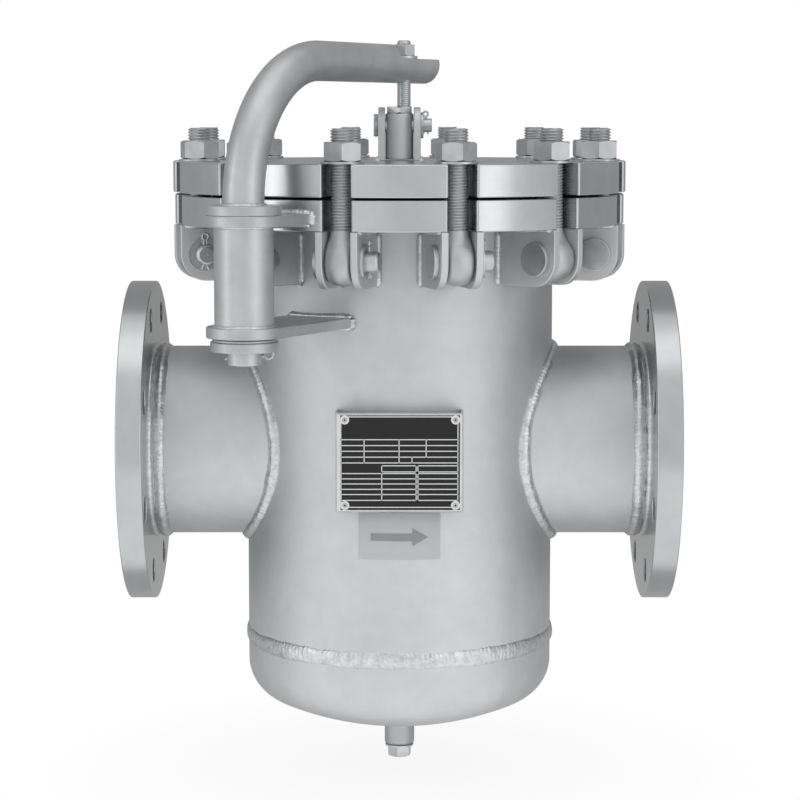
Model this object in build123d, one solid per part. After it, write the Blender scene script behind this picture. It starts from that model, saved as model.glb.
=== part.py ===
from build123d import *
from math import atan2, cos, pi, radians, sin, sqrt, tan
import os

# Basket strainer for a DN 150 pipe line: a welded stainless vessel with two flanged
# nozzles, a blind cover held by twelve swing bolts, and a davit that carries the cover.
# Millimetres. The flow runs along +X and +Z is up. The origin is the centre of the
# inlet flange face; the vessel axis stands half a face-to-face length downstream.

# Pipe connections
FACE_TO_FACE = 480.0
PIPE_R = 84.15
PIPE_WALL = 4.5
PIPE_FLANGE_R = 142.5
PIPE_FLANGE_T = 22.0
PIPE_BOLT_CIRCLE_R = 120.0
PIPE_BOLT_HOLES = 8
PIPE_BOLT_HOLE_R = 11.0
PIPE_FLANGE_CHAMFER = 1.5

# Vessel shell and dished head
SHELL_R = 136.5
SHELL_WALL = 4.0
SEAM_Z = -173.5
HEAD_STRAIGHT = 24.5
HEAD_CROWN_R = 273.0
HEAD_KNUCKLE_R = 36.0

# Drain
DRAIN_R = 13.5
DRAIN_LENGTH = 24.3
DRAIN_BORE_R = 10.5
DRAIN_CHAMFER = 2.0
PLUG_CLEARANCE = 0.08
PLUG_THREAD_LENGTH = 14.0
PLUG_HEX_AF = 19.0
PLUG_HEX_HEIGHT = 9.5
PLUG_SEAL_R = 13.0
PLUG_SEAL_T = 1.5

# Body flange, gasket and cover
FLANGE_EDGE = 19.0
BODY_FLANGE_BOTTOM = 195.0
BODY_FLANGE_T = 26.0
GASKET_T = 2.0
GASKET_TO_SLOT = 3.0
COVER_LIP = 1.5
COVER_T = 27.0
RIM_CHAMFER = 1.2
BROKEN_EDGE = 1.0

# Swing bolts
BOLTS = 12
BOLT_TO_SHELL = 43.5
BOLT_R = 10.0
BOLT_TIP_CHAMFER = 1.5
BOLT_STANDOUT = 11.0
SLOT_CLEARANCE = 2.0
SLOT_MOUTH_R = 2.0
EYE_R = 20.0
EYE_T = 22.0
NECK_R = 18.0
EYE_DROP = 25.0
PIN_R = 9.0
PIN_CLEARANCE = 0.1
PIN_HEAD_R = 14.5
PIN_HEAD_T = 4.5
PIN_TAIL = 11.0
PIN_END_CHAMFER = 2.0
PIN_WASHER_R = 15.0
PIN_WASHER_T = 3.0
SPLIT_PIN_R = 1.8
SPLIT_PIN_LENGTH = 28.0
SPLIT_PIN_GAP = 0.5
SPLIT_EYE_SIZE = 1.8
SPLIT_EYE_WIRE = 0.7
SPLIT_EYE_OVERLAP = 0.4
NUT_AF = 30.0
NUT_HEIGHT = 16.0
NUT_CHAMFER = 1.2
NUT_CLEARANCE = 0.1
NUT_WASHER_R = 18.0
NUT_WASHER_T = 2.0

# Lugs that carry the swing bolts
LUG_GAP = 24.0
LUG_T = 6.0
LUG_LIP = 1.0
LUG_HEIGHT = 48.0
LUG_CORNER_R = 22.0
LUG_HOLE_CLEARANCE = 0.3

# Davit
DAVIT_ANGLE = 240.0
DAVIT_TO_FLANGE = 51.0
DAVIT_PLATE_RISE = 6.0
DAVIT_PLATE_T = 9.0
DAVIT_PLATE_HALF = 31.0
SLEEVE_LENGTH = 80.5
SLEEVE_R = 24.15
SLEEVE_WALL = 3.65
POST_R = 14.0
POST_CLEARANCE = 0.1
POST_TAIL = 11.4
BUSH_LENGTH = 24.0
COLLAR_R = 30.5
COLLAR_T = 8.0
ARM_R = 16.85
ARM_BEND_R = 115.0
ARM_ABOVE_COVER = 85.0
ARM_OVERHANG = 43.0
ARM_FLAT_HEIGHT = 4.5
ARM_FLAT_LEAD = 14.0
POST_WASHER_R = 27.7
POST_WASHER_T = 8.0
POST_SHIM_R = 26.0
POST_SHIM_T = 2.0
POST_SPLIT_PIN_R = 2.5
POST_SPLIT_PIN_LENGTH = 46.0
WASHER_END_PLAY = 1.0

# Lifting rod and the clevis on the cover
ROD_R = 6.0
ROD_OFFSET = 4.0
ROD_HOLE_CLEARANCE = 0.5
ROD_STANDOUT = 3.5
ROD_NUT_AF = 18.0
ROD_NUT_HEIGHT = 10.0
ROD_WASHER_R = 12.0
ROD_WASHER_T = 2.5
LOCKNUT_AF = 22.0
LOCKNUT_HEIGHT = 6.0
LOCKNUT_TURN = 30.0
BARREL_R = 12.5
BARREL_HEIGHT = 40.5
BARREL_FLOOR_GAP = 1.0
ROD_END_GAP = 0.5
CLEVIS_SIDE_PLAY = 0.3
CLEVIS_WALL = 6.0
CLEVIS_WIDTH = 40.0
CLEVIS_HEIGHT = 47.0
CLEVIS_CORNER_R = 14.0
CLEVIS_PIN_R = 6.0
CLEVIS_PIN_RISE = 31.0
CLEVIS_PIN_HEAD_R = 10.0
CLEVIS_PIN_HEAD_T = 4.0
CLEVIS_PIN_TAIL = 7.5
CLEVIS_WASHER_R = 11.5
CLEVIS_WASHER_T = 2.5
CLEVIS_SPLIT_PIN_R = 1.4
CLEVIS_SPLIT_PIN_LENGTH = 22.0
CLEVIS_SPLIT_PIN_GAP = 0.3

# Basket and its inclined seat
SEAT_ANGLE = 35.0
SEAT_T = 5.0
BASKET_TO_SHELL = 34.5
BASKET_WALL = 1.5
BASKET_CLEARANCE = 1.5
BASKET_BELOW_SEAM = 16.5
BASKET_FLOOR_T = 3.0
BASKET_RIM_LIP = 11.0
BASKET_RIM_T = 4.0
WINDOW_COLUMNS = 18
WINDOW_WIDTH = 22.0
WINDOW_HEIGHT = 22.0
WINDOW_PITCH = 27.0
LINER_T = 0.8
LINER_CLEARANCE = 0.1
FLOOR_HOLE_R = 7.0
FLOOR_INNER_RING_R = 32.0
FLOOR_RING_EDGE = 32.0
HANDLE_R = 4.0
HANDLE_TO_WALL = 5.0
HANDLE_BEND_R = 40.0
HANDLE_HEADROOM = 16.0

# Nameplate on its bracket, and the flow arrow film
PLATE_WIDTH = 107.6
PLATE_HEIGHT = 84.3
BRACKET_T = 2.0
BRACKET_STANDOFF = 12.0
NAMEPLATE_T = 1.0
NAMEPLATE_BORDER = 1.2
RIVET_R = 2.2
RIVET_INSET = 5.5
RIVET_HEIGHT = 1.2
FILM_T = 0.4
FILM_GLUE_T = 0.1
FILM_WIDTH = 69.6
FILM_HEIGHT = 41.0
FILM_CENTRE_Z = -65.0

# Heights and radii that follow
PIPE_BORE_R = PIPE_R - PIPE_WALL
SHELL_BORE_R = SHELL_R - SHELL_WALL
BOLT_CIRCLE_R = SHELL_R + BOLT_TO_SHELL
BODY_FLANGE_R = BOLT_CIRCLE_R + FLANGE_EDGE
BODY_FLANGE_TOP = BODY_FLANGE_BOTTOM + BODY_FLANGE_T
SLOT_R = BOLT_R + SLOT_CLEARANCE
GASKET_R = BOLT_CIRCLE_R - SLOT_R - GASKET_TO_SLOT
COVER_R = BODY_FLANGE_R + COVER_LIP
COVER_BOTTOM = BODY_FLANGE_TOP + GASKET_T
COVER_TOP = COVER_BOTTOM + COVER_T
PIN_Z = BODY_FLANGE_BOTTOM - EYE_DROP
NUT_BOTTOM = COVER_TOP + NUT_WASHER_T
BOLT_TOP = NUT_BOTTOM + NUT_HEIGHT + BOLT_STANDOUT
HEAD_TANGENT_Z = SEAM_Z - HEAD_STRAIGHT
KNUCKLE_CENTRE_R = SHELL_R - HEAD_KNUCKLE_R
CROWN_CENTRE_Z = HEAD_TANGENT_Z + sqrt(
    (HEAD_CROWN_R - HEAD_KNUCKLE_R) ** 2 - KNUCKLE_CENTRE_R**2
)
HEAD_BOTTOM_Z = CROWN_CENTRE_Z - HEAD_CROWN_R
DRAIN_BOTTOM = HEAD_BOTTOM_Z - DRAIN_LENGTH
LUG_REACH = BODY_FLANGE_R + LUG_LIP
LUG_OUTER = LUG_GAP / 2 + LUG_T
PIN_END = LUG_OUTER + PIN_WASHER_T + PIN_TAIL
SPLIT_PIN_AT = LUG_OUTER + PIN_WASHER_T + SPLIT_PIN_R + SPLIT_PIN_GAP
DAVIT_CIRCLE_R = BODY_FLANGE_R + DAVIT_TO_FLANGE
DAVIT_TOP_PLATE_BOTTOM = BODY_FLANGE_BOTTOM + DAVIT_PLATE_RISE
DAVIT_TOP_PLATE_TOP = DAVIT_TOP_PLATE_BOTTOM + DAVIT_PLATE_T
DAVIT_LOW_PLATE_TOP = DAVIT_TOP_PLATE_BOTTOM - SLEEVE_LENGTH
DAVIT_LOW_PLATE_BOTTOM = DAVIT_LOW_PLATE_TOP - DAVIT_PLATE_T
SLEEVE_BORE_R = SLEEVE_R - SLEEVE_WALL
ARM_FOOT_Z = DAVIT_TOP_PLATE_TOP + COLLAR_T
SHIM_TOP = DAVIT_LOW_PLATE_BOTTOM - WASHER_END_PLAY
POST_WASHER_TOP = SHIM_TOP - POST_SHIM_T
POST_WASHER_BOTTOM = POST_WASHER_TOP - POST_WASHER_T
POST_BOTTOM = POST_WASHER_BOTTOM - POST_TAIL
POST_PIN_Z = POST_WASHER_BOTTOM - POST_SPLIT_PIN_R
ARM_CENTRE_Z = COVER_TOP + ARM_ABOVE_COVER
ARM_FLAT_Z = ARM_CENTRE_Z + ARM_FLAT_HEIGHT
CLEVIS_GAP = 2 * (BARREL_R + CLEVIS_SIDE_PLAY)
CLEVIS_OUTER = CLEVIS_GAP / 2 + CLEVIS_WALL
CLEVIS_PIN_Z = COVER_TOP + CLEVIS_PIN_RISE
CLEVIS_SPLIT_AT = CLEVIS_OUTER + CLEVIS_WASHER_T + CLEVIS_SPLIT_PIN_R + CLEVIS_SPLIT_PIN_GAP
BARREL_BOTTOM = COVER_TOP + BARREL_FLOOR_GAP
BARREL_TOP = BARREL_BOTTOM + BARREL_HEIGHT
ROD_NUT_BOTTOM = ARM_FLAT_Z + ROD_WASHER_T
ROD_BOTTOM = CLEVIS_PIN_Z + CLEVIS_PIN_R + ROD_END_GAP
ROD_TOP = ROD_NUT_BOTTOM + ROD_NUT_HEIGHT + ROD_STANDOUT
BASKET_R = SHELL_BORE_R - BASKET_TO_SHELL
BASKET_RIM_R = BASKET_R + BASKET_RIM_LIP
BASKET_FLOOR_Z = SEAM_Z - BASKET_BELOW_SEAM
FLOOR_OUTER_RING_R = BASKET_R - FLOOR_RING_EDGE
HANDLE_CIRCLE_R = BASKET_R + HANDLE_TO_WALL
BRACKET_FRONT_Y = -(SHELL_R + BRACKET_STANDOFF + BRACKET_T)

# The whole part is built about the vessel axis and moved to the origin when written
PLACE = Pos(FACE_TO_FACE / 2, 0, 0)
DAVIT_AXIS = Pos(
    DAVIT_CIRCLE_R * cos(radians(DAVIT_ANGLE)),
    DAVIT_CIRCLE_R * sin(radians(DAVIT_ANGLE)),
    0,
)
ROD_AXIS = Pos(ROD_OFFSET, 0, 0)
ALONG_X = Rot(0, 90, 0)
ALONG_Y = Rot(-90, 0, 0)
PIN_LINE = Pos(BOLT_CIRCLE_R, 0, PIN_Z) * ALONG_Y
CLEVIS_LINE = Pos(0, 0, CLEVIS_PIN_Z) * ALONG_X
FAR = 1000.0
BASE = (Align.CENTER, Align.CENTER, Align.MIN)


def disc(radius, bottom, top):
    """Upright cylinder on the local Z axis between two heights."""
    return Pos(0, 0, bottom) * Cylinder(radius, top - bottom, align=BASE)


def ring(outer, inner, bottom, top):
    """Upright tube on the local Z axis between two heights."""
    return disc(outer, bottom, top) - disc(inner, bottom, top)


def hexagon(across_flats, bottom, top, chamfer_size):
    """Hexagon prism whose corners are turned off at both ends, as on a nut."""
    prism = extrude(Pos(0, 0, bottom) * RegularPolygon(across_flats / sqrt(3), 6), top - bottom)
    corner_r = across_flats / sqrt(3)
    turned = disc(corner_r, bottom, top)
    return prism & chamfer(turned.edges(), chamfer_size)


def edge_chamfered(shape, size):
    """Chamfer every circular edge at the top and bottom of a turned piece."""
    return chamfer(shape.edges().filter_by(GeomType.CIRCLE), size)


def bolt_angles():
    """Angles of the swing bolts about the vessel axis, none of them on the X or Y axis."""
    pitch = 360 / BOLTS
    return [pitch * (index + 0.5) for index in range(BOLTS)]


def at_bolt(angle, shape):
    """Turn a piece built at radius +X, tangent +Y, to one bolt position."""
    return Rot(0, 0, angle) * shape


def round_bolt_circle(shape):
    """One copy of a piece at every bolt position."""
    return Compound([at_bolt(angle, shape) for angle in bolt_angles()])


def slotted_disc(radius, bottom, top, bore_r=0.0):
    """Flange disc with an open, round-mouthed slot for each swing bolt, and its rim edges broken."""
    slot = Circle(SLOT_R) + Rectangle(radius, 2 * SLOT_R, align=(Align.MIN, Align.CENTER))
    slot = Pos(BOLT_CIRCLE_R, 0) * slot
    outline = Rot(0, 0, bolt_angles()[0]) * Circle(radius)
    for angle in bolt_angles():
        outline -= Rot(0, 0, angle) * slot
    mouth_corners = outline.vertices().sort_by_distance((0, 0, 0))[-2 * BOLTS:]
    outline = fillet(mouth_corners, SLOT_MOUTH_R)
    if bore_r:
        outline -= Circle(bore_r)
    blank = edge_chamfered(disc(radius, bottom, top), RIM_CHAMFER)
    return blank & extrude(Pos(0, 0, bottom) * outline, top - bottom)


def split_pin(radius, length):
    """Split pin along +Z: an eye at the foot and a straight shank."""
    eye_r = SPLIT_EYE_SIZE * radius
    eye = Pos(0, 0, -eye_r) * (ALONG_X * Torus(eye_r, SPLIT_EYE_WIRE * radius))
    return disc(radius, -SPLIT_EYE_OVERLAP * radius, length) + eye


def half_space_above(offset):
    """Everything above the seat plane, shifted by a distance square to the plane."""
    block = Box(FAR, FAR, FAR, align=BASE)
    return Rot(0, -SEAT_ANGLE, 0) * (Pos(0, 0, offset) * block)


def nozzle(side):
    """Pipe from the shell to its flange; side is -1 at the inlet and +1 at the outlet."""
    reach = FACE_TO_FACE / 2 - PIPE_FLANGE_T
    pipe = Rot(0, 90 * side, 0) * ring(PIPE_R, PIPE_BORE_R, 0, reach)
    return pipe - disc(SHELL_R, -FAR / 2, FAR / 2)


def pipe_flange(side):
    """Flat plate flange with its bolt holes straddling the centre lines."""
    face = FACE_TO_FACE / 2
    plate = edge_chamfered(disc(PIPE_FLANGE_R, face - PIPE_FLANGE_T, face), PIPE_FLANGE_CHAMFER)
    plate -= disc(PIPE_BORE_R, face - PIPE_FLANGE_T, face)
    hole = Pos(PIPE_BOLT_CIRCLE_R, 0, 0) * disc(PIPE_BOLT_HOLE_R, face - PIPE_FLANGE_T, face)
    pitch = 360 / PIPE_BOLT_HOLES
    for index in range(PIPE_BOLT_HOLES):
        plate -= Rot(0, 0, pitch * (index + 0.5)) * hole
    return Rot(0, 90 * side, 0) * plate


def body_shell():
    """Rolled shell with the two nozzle openings."""
    tube = ring(SHELL_R, SHELL_BORE_R, SEAM_Z, BODY_FLANGE_BOTTOM)
    return tube - ALONG_X * Cylinder(PIPE_BORE_R, 2 * FACE_TO_FACE)


def head_solid(inset):
    """Filled dished head: straight skirt, knuckle arc and crown arc, drawn in by inset."""
    crown_r = HEAD_CROWN_R - inset
    knuckle_r = HEAD_KNUCKLE_R - inset
    skirt_r = SHELL_R - inset
    slope = atan2(KNUCKLE_CENTRE_R, CROWN_CENTRE_Z - HEAD_TANGENT_Z)

    def on_crown(angle):
        return (crown_r * sin(angle), CROWN_CENTRE_Z - crown_r * cos(angle))

    def on_knuckle(angle):
        return (
            KNUCKLE_CENTRE_R + knuckle_r * sin(angle),
            HEAD_TANGENT_Z - knuckle_r * cos(angle),
        )

    quarter = radians(90)
    outline = [
        Line((0, SEAM_Z), (skirt_r, SEAM_Z)),
        Line((skirt_r, SEAM_Z), (skirt_r, HEAD_TANGENT_Z)),
        ThreePointArc(
            (skirt_r, HEAD_TANGENT_Z),
            on_knuckle((slope + quarter) / 2),
            on_knuckle(slope),
        ),
        ThreePointArc(on_crown(slope), on_crown(slope / 2), on_crown(0)),
        Line(on_crown(0), (0, SEAM_Z)),
    ]
    return revolve(Plane.XZ * make_face(outline), Axis.Z)


def dished_head():
    """Dished bottom with the drain hole."""
    shell = head_solid(0) - head_solid(SHELL_WALL)
    return shell - disc(DRAIN_BORE_R, DRAIN_BOTTOM, SEAM_Z)


def drain_socket():
    """Threaded socket welded on the lowest point of the head."""
    blank = disc(DRAIN_R, DRAIN_BOTTOM, HEAD_BOTTOM_Z + DRAIN_R)
    blank = chamfer(blank.edges().sort_by(Axis.Z)[0], DRAIN_CHAMFER)
    blank -= head_solid(0)
    return blank - disc(DRAIN_BORE_R, DRAIN_BOTTOM, HEAD_BOTTOM_Z + DRAIN_R)


def drain_plug():
    """Hexagon plug with its thread length up in the socket."""
    seat = DRAIN_BOTTOM - PLUG_SEAL_T
    head = Rot(180, 0, 0) * hexagon(PLUG_HEX_AF, -seat, -seat + PLUG_HEX_HEIGHT, NUT_CHAMFER)
    shank = disc(DRAIN_BORE_R - PLUG_CLEARANCE, seat, DRAIN_BOTTOM + PLUG_THREAD_LENGTH)
    return head + shank


def bolt_lug(side):
    """One lug plate beside a swing bolt; side is -1 or +1 along the tangent."""
    bottom = BODY_FLANGE_BOTTOM - LUG_HEIGHT
    outline = Pos(0, bottom) * Rectangle(LUG_REACH, LUG_HEIGHT, align=(Align.MIN, Align.MIN))
    corner = outline.vertices().sort_by(Axis.X)[-2:].sort_by(Axis.Y)[0]
    outline = fillet(corner, LUG_CORNER_R)
    outline -= Pos(BOLT_CIRCLE_R, PIN_Z) * Circle(PIN_R + LUG_HOLE_CLEARANCE)
    middle = side * (LUG_GAP + LUG_T) / 2
    plate = Pos(0, middle, 0) * extrude(Plane.XZ * outline, LUG_T / 2, both=True)
    return plate - disc(SHELL_R, 0, BODY_FLANGE_BOTTOM)


def swing_bolt():
    """Swing bolt standing at radius +X: its shank flares into a ball eye with flat sides."""
    length = BOLT_TOP - PIN_Z
    blank = Sphere(EYE_R) + disc(BOLT_R, 0, length)
    neck = blank.edges().filter_by(GeomType.CIRCLE).sort_by(Axis.Z)[-2]
    blank = fillet(neck, NECK_R)
    blank = chamfer(blank.edges().sort_by(Axis.Z)[-1], BOLT_TIP_CHAMFER)
    blank &= Pos(0, 0, -EYE_R) * Box(2 * EYE_R, EYE_T, EYE_R + length, align=BASE)
    bore = ALONG_Y * Cylinder(PIN_R + PIN_CLEARANCE, 2 * EYE_R)
    return Pos(BOLT_CIRCLE_R, 0, PIN_Z) * (blank - bore)


def nut_and_washer():
    """Hexagon nut on its washer, at the radius of the bolts."""
    bore_r = BOLT_R + NUT_CLEARANCE
    nut = hexagon(NUT_AF, NUT_BOTTOM, NUT_BOTTOM + NUT_HEIGHT, NUT_CHAMFER)
    nut -= disc(bore_r, NUT_BOTTOM, NUT_BOTTOM + NUT_HEIGHT)
    washer = ring(NUT_WASHER_R, bore_r, COVER_TOP, NUT_BOTTOM)
    place = Pos(BOLT_CIRCLE_R, 0, 0)
    return [place * nut, place * washer]


def lug_pin():
    """Headed pin through a pair of lugs and the bolt eye, drilled for its split pin."""
    shank = edge_chamfered(disc(PIN_R, -LUG_OUTER - PIN_HEAD_T, PIN_END), PIN_END_CHAMFER)
    head = edge_chamfered(disc(PIN_HEAD_R, -LUG_OUTER - PIN_HEAD_T, -LUG_OUTER), BROKEN_EDGE)
    drill = Pos(0, 0, SPLIT_PIN_AT) * (ALONG_Y * Cylinder(SPLIT_PIN_R, 2 * PIN_HEAD_R))
    return PIN_LINE * (shank + head - drill)


def lug_pin_washer():
    """Washer between the lug and the split pin."""
    return PIN_LINE * ring(PIN_WASHER_R, PIN_R + PIN_CLEARANCE, LUG_OUTER, LUG_OUTER + PIN_WASHER_T)


def lug_split_pin():
    """Upright split pin through the tail of a lug pin, with its eye on top."""
    pin = Pos(0, 0, -SPLIT_PIN_LENGTH / 2) * split_pin(SPLIT_PIN_R, SPLIT_PIN_LENGTH)
    return PIN_LINE * Pos(0, 0, SPLIT_PIN_AT) * ALONG_Y * pin


def davit_plate(bottom, root_r):
    """Flat arm of the davit bearing: round at the sleeve and cut to fit what it is welded to."""
    run = Pos(root_r / 2 + DAVIT_CIRCLE_R / 2, 0, bottom) * Box(
        DAVIT_CIRCLE_R - root_r + DAVIT_PLATE_HALF, 2 * DAVIT_PLATE_HALF, DAVIT_PLATE_T, align=BASE
    )
    run = Pos(-DAVIT_PLATE_HALF / 2, 0, 0) * run
    tip = Pos(DAVIT_CIRCLE_R, 0, 0) * disc(DAVIT_PLATE_HALF, bottom, bottom + DAVIT_PLATE_T)
    plate = run + tip
    plate -= disc(root_r, bottom, bottom + DAVIT_PLATE_T)
    hole = disc(POST_R + POST_CLEARANCE, bottom, bottom + DAVIT_PLATE_T)
    plate -= Pos(DAVIT_CIRCLE_R, 0, 0) * hole
    return Rot(0, 0, DAVIT_ANGLE) * plate


def davit_sleeve():
    """Tube between the two davit plates."""
    return DAVIT_AXIS * ring(
        SLEEVE_R, SLEEVE_BORE_R, DAVIT_LOW_PLATE_TOP, DAVIT_TOP_PLATE_BOTTOM
    )


def davit_bushes():
    """Plain bearing bushes at both ends of the sleeve."""
    bore_r = POST_R + POST_CLEARANCE
    low = ring(SLEEVE_BORE_R, bore_r, DAVIT_LOW_PLATE_TOP, DAVIT_LOW_PLATE_TOP + BUSH_LENGTH)
    high = ring(SLEEVE_BORE_R, bore_r, DAVIT_TOP_PLATE_BOTTOM - BUSH_LENGTH, DAVIT_TOP_PLATE_BOTTOM)
    return Compound([DAVIT_AXIS * low, DAVIT_AXIS * high])


def davit_post():
    """Pivot post below the collar, drilled for its split pin."""
    post = disc(POST_R, POST_BOTTOM, ARM_FOOT_Z)
    post = chamfer(post.edges().sort_by(Axis.Z)[0], BOLT_TIP_CHAMFER)
    drill = ALONG_X * Cylinder(POST_SPLIT_PIN_R, POST_SPLIT_PIN_LENGTH)
    return DAVIT_AXIS * (post - Pos(0, 0, POST_PIN_Z) * drill)


def post_split_pin():
    """Split pin under the post washer."""
    pin = Pos(0, 0, -POST_SPLIT_PIN_LENGTH / 2) * split_pin(POST_SPLIT_PIN_R, POST_SPLIT_PIN_LENGTH)
    return DAVIT_AXIS * Pos(0, 0, POST_PIN_Z) * ALONG_X * pin


def davit_arm():
    """Round bar turned down to the post at its foot, bent over, and milled flat under the nut."""
    level = ARM_CENTRE_Z - ARM_BEND_R
    reach = DAVIT_CIRCLE_R + ARM_OVERHANG
    upright = Line((0, ARM_FOOT_Z), (0, level))
    bend = RadiusArc((0, level), (ARM_BEND_R, ARM_CENTRE_Z), ARM_BEND_R)
    level_run = Line((ARM_BEND_R, ARM_CENTRE_Z), (reach, ARM_CENTRE_Z))
    path = Plane.XZ * (upright + bend + level_run)
    bar = sweep(Pos(0, 0, ARM_FOOT_Z) * Circle(ARM_R), path=path)
    flat_start = DAVIT_CIRCLE_R - ARM_FLAT_LEAD
    bar -= Pos(flat_start, 0, ARM_FLAT_Z) * Box(
        FAR, FAR, ARM_R, align=(Align.MIN, Align.CENTER, Align.MIN)
    )
    bar = DAVIT_AXIS * (Rot(0, 0, DAVIT_ANGLE - 180) * bar)
    bar -= ROD_AXIS * disc(ROD_R + ROD_HOLE_CLEARANCE, ARM_CENTRE_Z - ARM_R, ARM_CENTRE_Z + ARM_R)
    return bar + davit_post()


def lifting_rod():
    """Threaded rod from the barrel up through the arm."""
    return ROD_AXIS * edge_chamfered(disc(ROD_R, ROD_BOTTOM, ROD_TOP), BROKEN_EDGE)


def rod_barrel():
    """Round body that takes the rod's foot and hangs on the clevis pin."""
    barrel = edge_chamfered(disc(BARREL_R, BARREL_BOTTOM, BARREL_TOP), BROKEN_EDGE)
    barrel -= ROD_AXIS * disc(ROD_R, ROD_BOTTOM, BARREL_TOP)
    return barrel - CLEVIS_LINE * Cylinder(CLEVIS_PIN_R, CLEVIS_GAP)


def lifting_nut():
    """Nut that draws the rod up through the arm."""
    nut = hexagon(ROD_NUT_AF, ROD_NUT_BOTTOM, ROD_NUT_BOTTOM + ROD_NUT_HEIGHT, NUT_CHAMFER)
    return ROD_AXIS * (nut - disc(ROD_R, ROD_NUT_BOTTOM, ROD_NUT_BOTTOM + ROD_NUT_HEIGHT))


def rod_locknut():
    """Hexagon on top of the barrel, with its flats to the clevis walls."""
    top = BARREL_TOP + LOCKNUT_HEIGHT
    nut = Rot(0, 0, LOCKNUT_TURN) * hexagon(LOCKNUT_AF, BARREL_TOP, top, NUT_CHAMFER)
    return nut - ROD_AXIS * disc(ROD_R, BARREL_TOP, top)


def rod_washer():
    """Washer between the arm's flat and the lifting nut."""
    return ROD_AXIS * ring(ROD_WASHER_R, ROD_R, ARM_FLAT_Z, ROD_NUT_BOTTOM)


def clevis_wall(side):
    """Upright lug on the cover beside the barrel, rounded over the pin."""
    outline = Pos(0, COVER_TOP) * Rectangle(
        CLEVIS_WIDTH, CLEVIS_HEIGHT, align=(Align.CENTER, Align.MIN)
    )
    outline = fillet(outline.vertices().sort_by(Axis.Y)[-2:], CLEVIS_CORNER_R)
    outline -= Pos(0, CLEVIS_PIN_Z) * Circle(CLEVIS_PIN_R)
    middle = side * (CLEVIS_GAP + CLEVIS_WALL) / 2
    return Pos(middle, 0, 0) * extrude(Plane.YZ * outline, CLEVIS_WALL / 2, both=True)


def clevis_pin():
    """Headed pin that joins the lifting rod to the cover."""
    end = CLEVIS_OUTER + CLEVIS_WASHER_T + CLEVIS_PIN_TAIL
    shank = edge_chamfered(disc(CLEVIS_PIN_R, -CLEVIS_OUTER - CLEVIS_PIN_HEAD_T, end), BROKEN_EDGE)
    head = disc(CLEVIS_PIN_HEAD_R, -CLEVIS_OUTER - CLEVIS_PIN_HEAD_T, -CLEVIS_OUTER)
    drill = Pos(0, 0, CLEVIS_SPLIT_AT) * (ALONG_X * Cylinder(CLEVIS_SPLIT_PIN_R, CLEVIS_WIDTH))
    return CLEVIS_LINE * (shank + head - drill)


def clevis_washer():
    """Washer between the clevis wall and the split pin."""
    return CLEVIS_LINE * ring(
        CLEVIS_WASHER_R, CLEVIS_PIN_R, CLEVIS_OUTER, CLEVIS_OUTER + CLEVIS_WASHER_T
    )


def clevis_split_pin():
    """Split pin that keeps the clevis pin in."""
    length = CLEVIS_SPLIT_PIN_LENGTH
    pin = Pos(0, 0, -length / 2) * split_pin(CLEVIS_SPLIT_PIN_R, length)
    return CLEVIS_LINE * Pos(0, 0, CLEVIS_SPLIT_AT) * ALONG_X * pin


def basket_seat():
    """Inclined plate across the shell, from below the inlet to above the outlet."""
    column = disc(SHELL_BORE_R, -FAR / 2, FAR / 2)
    plate = column & (half_space_above(-SEAT_T) - half_space_above(0))
    return plate - disc(BASKET_R + BASKET_CLEARANCE, -FAR / 2, FAR / 2)


def basket_rim():
    """Flat ring on the basket, lying on the seat plate."""
    column = ring(BASKET_RIM_R, BASKET_R - BASKET_WALL, -FAR / 2, FAR / 2)
    return column & (half_space_above(0) - half_space_above(BASKET_RIM_T))


def basket_screen():
    """Basket wall with its windows, each lined by the mesh behind it."""
    wall = ring(BASKET_R, BASKET_R - BASKET_WALL, BASKET_FLOOR_Z + BASKET_FLOOR_T, FAR / 2)
    wall -= half_space_above(0)
    first = BASKET_FLOOR_Z + BASKET_FLOOR_T + WINDOW_PITCH / 2
    column_pitch = 360 / WINDOW_COLUMNS
    for column in range(WINDOW_COLUMNS):
        angle = column_pitch * (column + 0.5)
        top = BASKET_R * cos(radians(angle)) * tan(radians(SEAT_ANGLE))
        row = 0
        while first + row * WINDOW_PITCH + WINDOW_HEIGHT < top - WINDOW_PITCH / 2:
            height = first + row * WINDOW_PITCH + WINDOW_HEIGHT / 2
            window = Pos(BASKET_R, 0, height) * Box(BASKET_R, WINDOW_WIDTH, WINDOW_HEIGHT)
            wall -= Rot(0, 0, angle) * window
            row += 1
    return wall


def basket_liner():
    """Fine mesh sleeve inside the windows, drawn as a thin sheet."""
    outer = BASKET_R - BASKET_WALL - LINER_CLEARANCE
    sleeve = ring(outer, outer - LINER_T, BASKET_FLOOR_Z + BASKET_FLOOR_T, FAR / 2)
    return sleeve - half_space_above(0)


def basket_floor():
    """Perforated floor of the basket."""
    floor = disc(BASKET_R, BASKET_FLOOR_Z, BASKET_FLOOR_Z + BASKET_FLOOR_T)
    for ring_r in (FLOOR_INNER_RING_R, FLOOR_OUTER_RING_R):
        count = round(pi * ring_r / (2 * FLOOR_HOLE_R))
        hole = Pos(ring_r, 0, 0) * disc(
            FLOOR_HOLE_R, BASKET_FLOOR_Z, BASKET_FLOOR_Z + BASKET_FLOOR_T
        )
        for index in range(count):
            floor -= Rot(0, 0, 360 / count * index) * hole
    return floor


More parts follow.
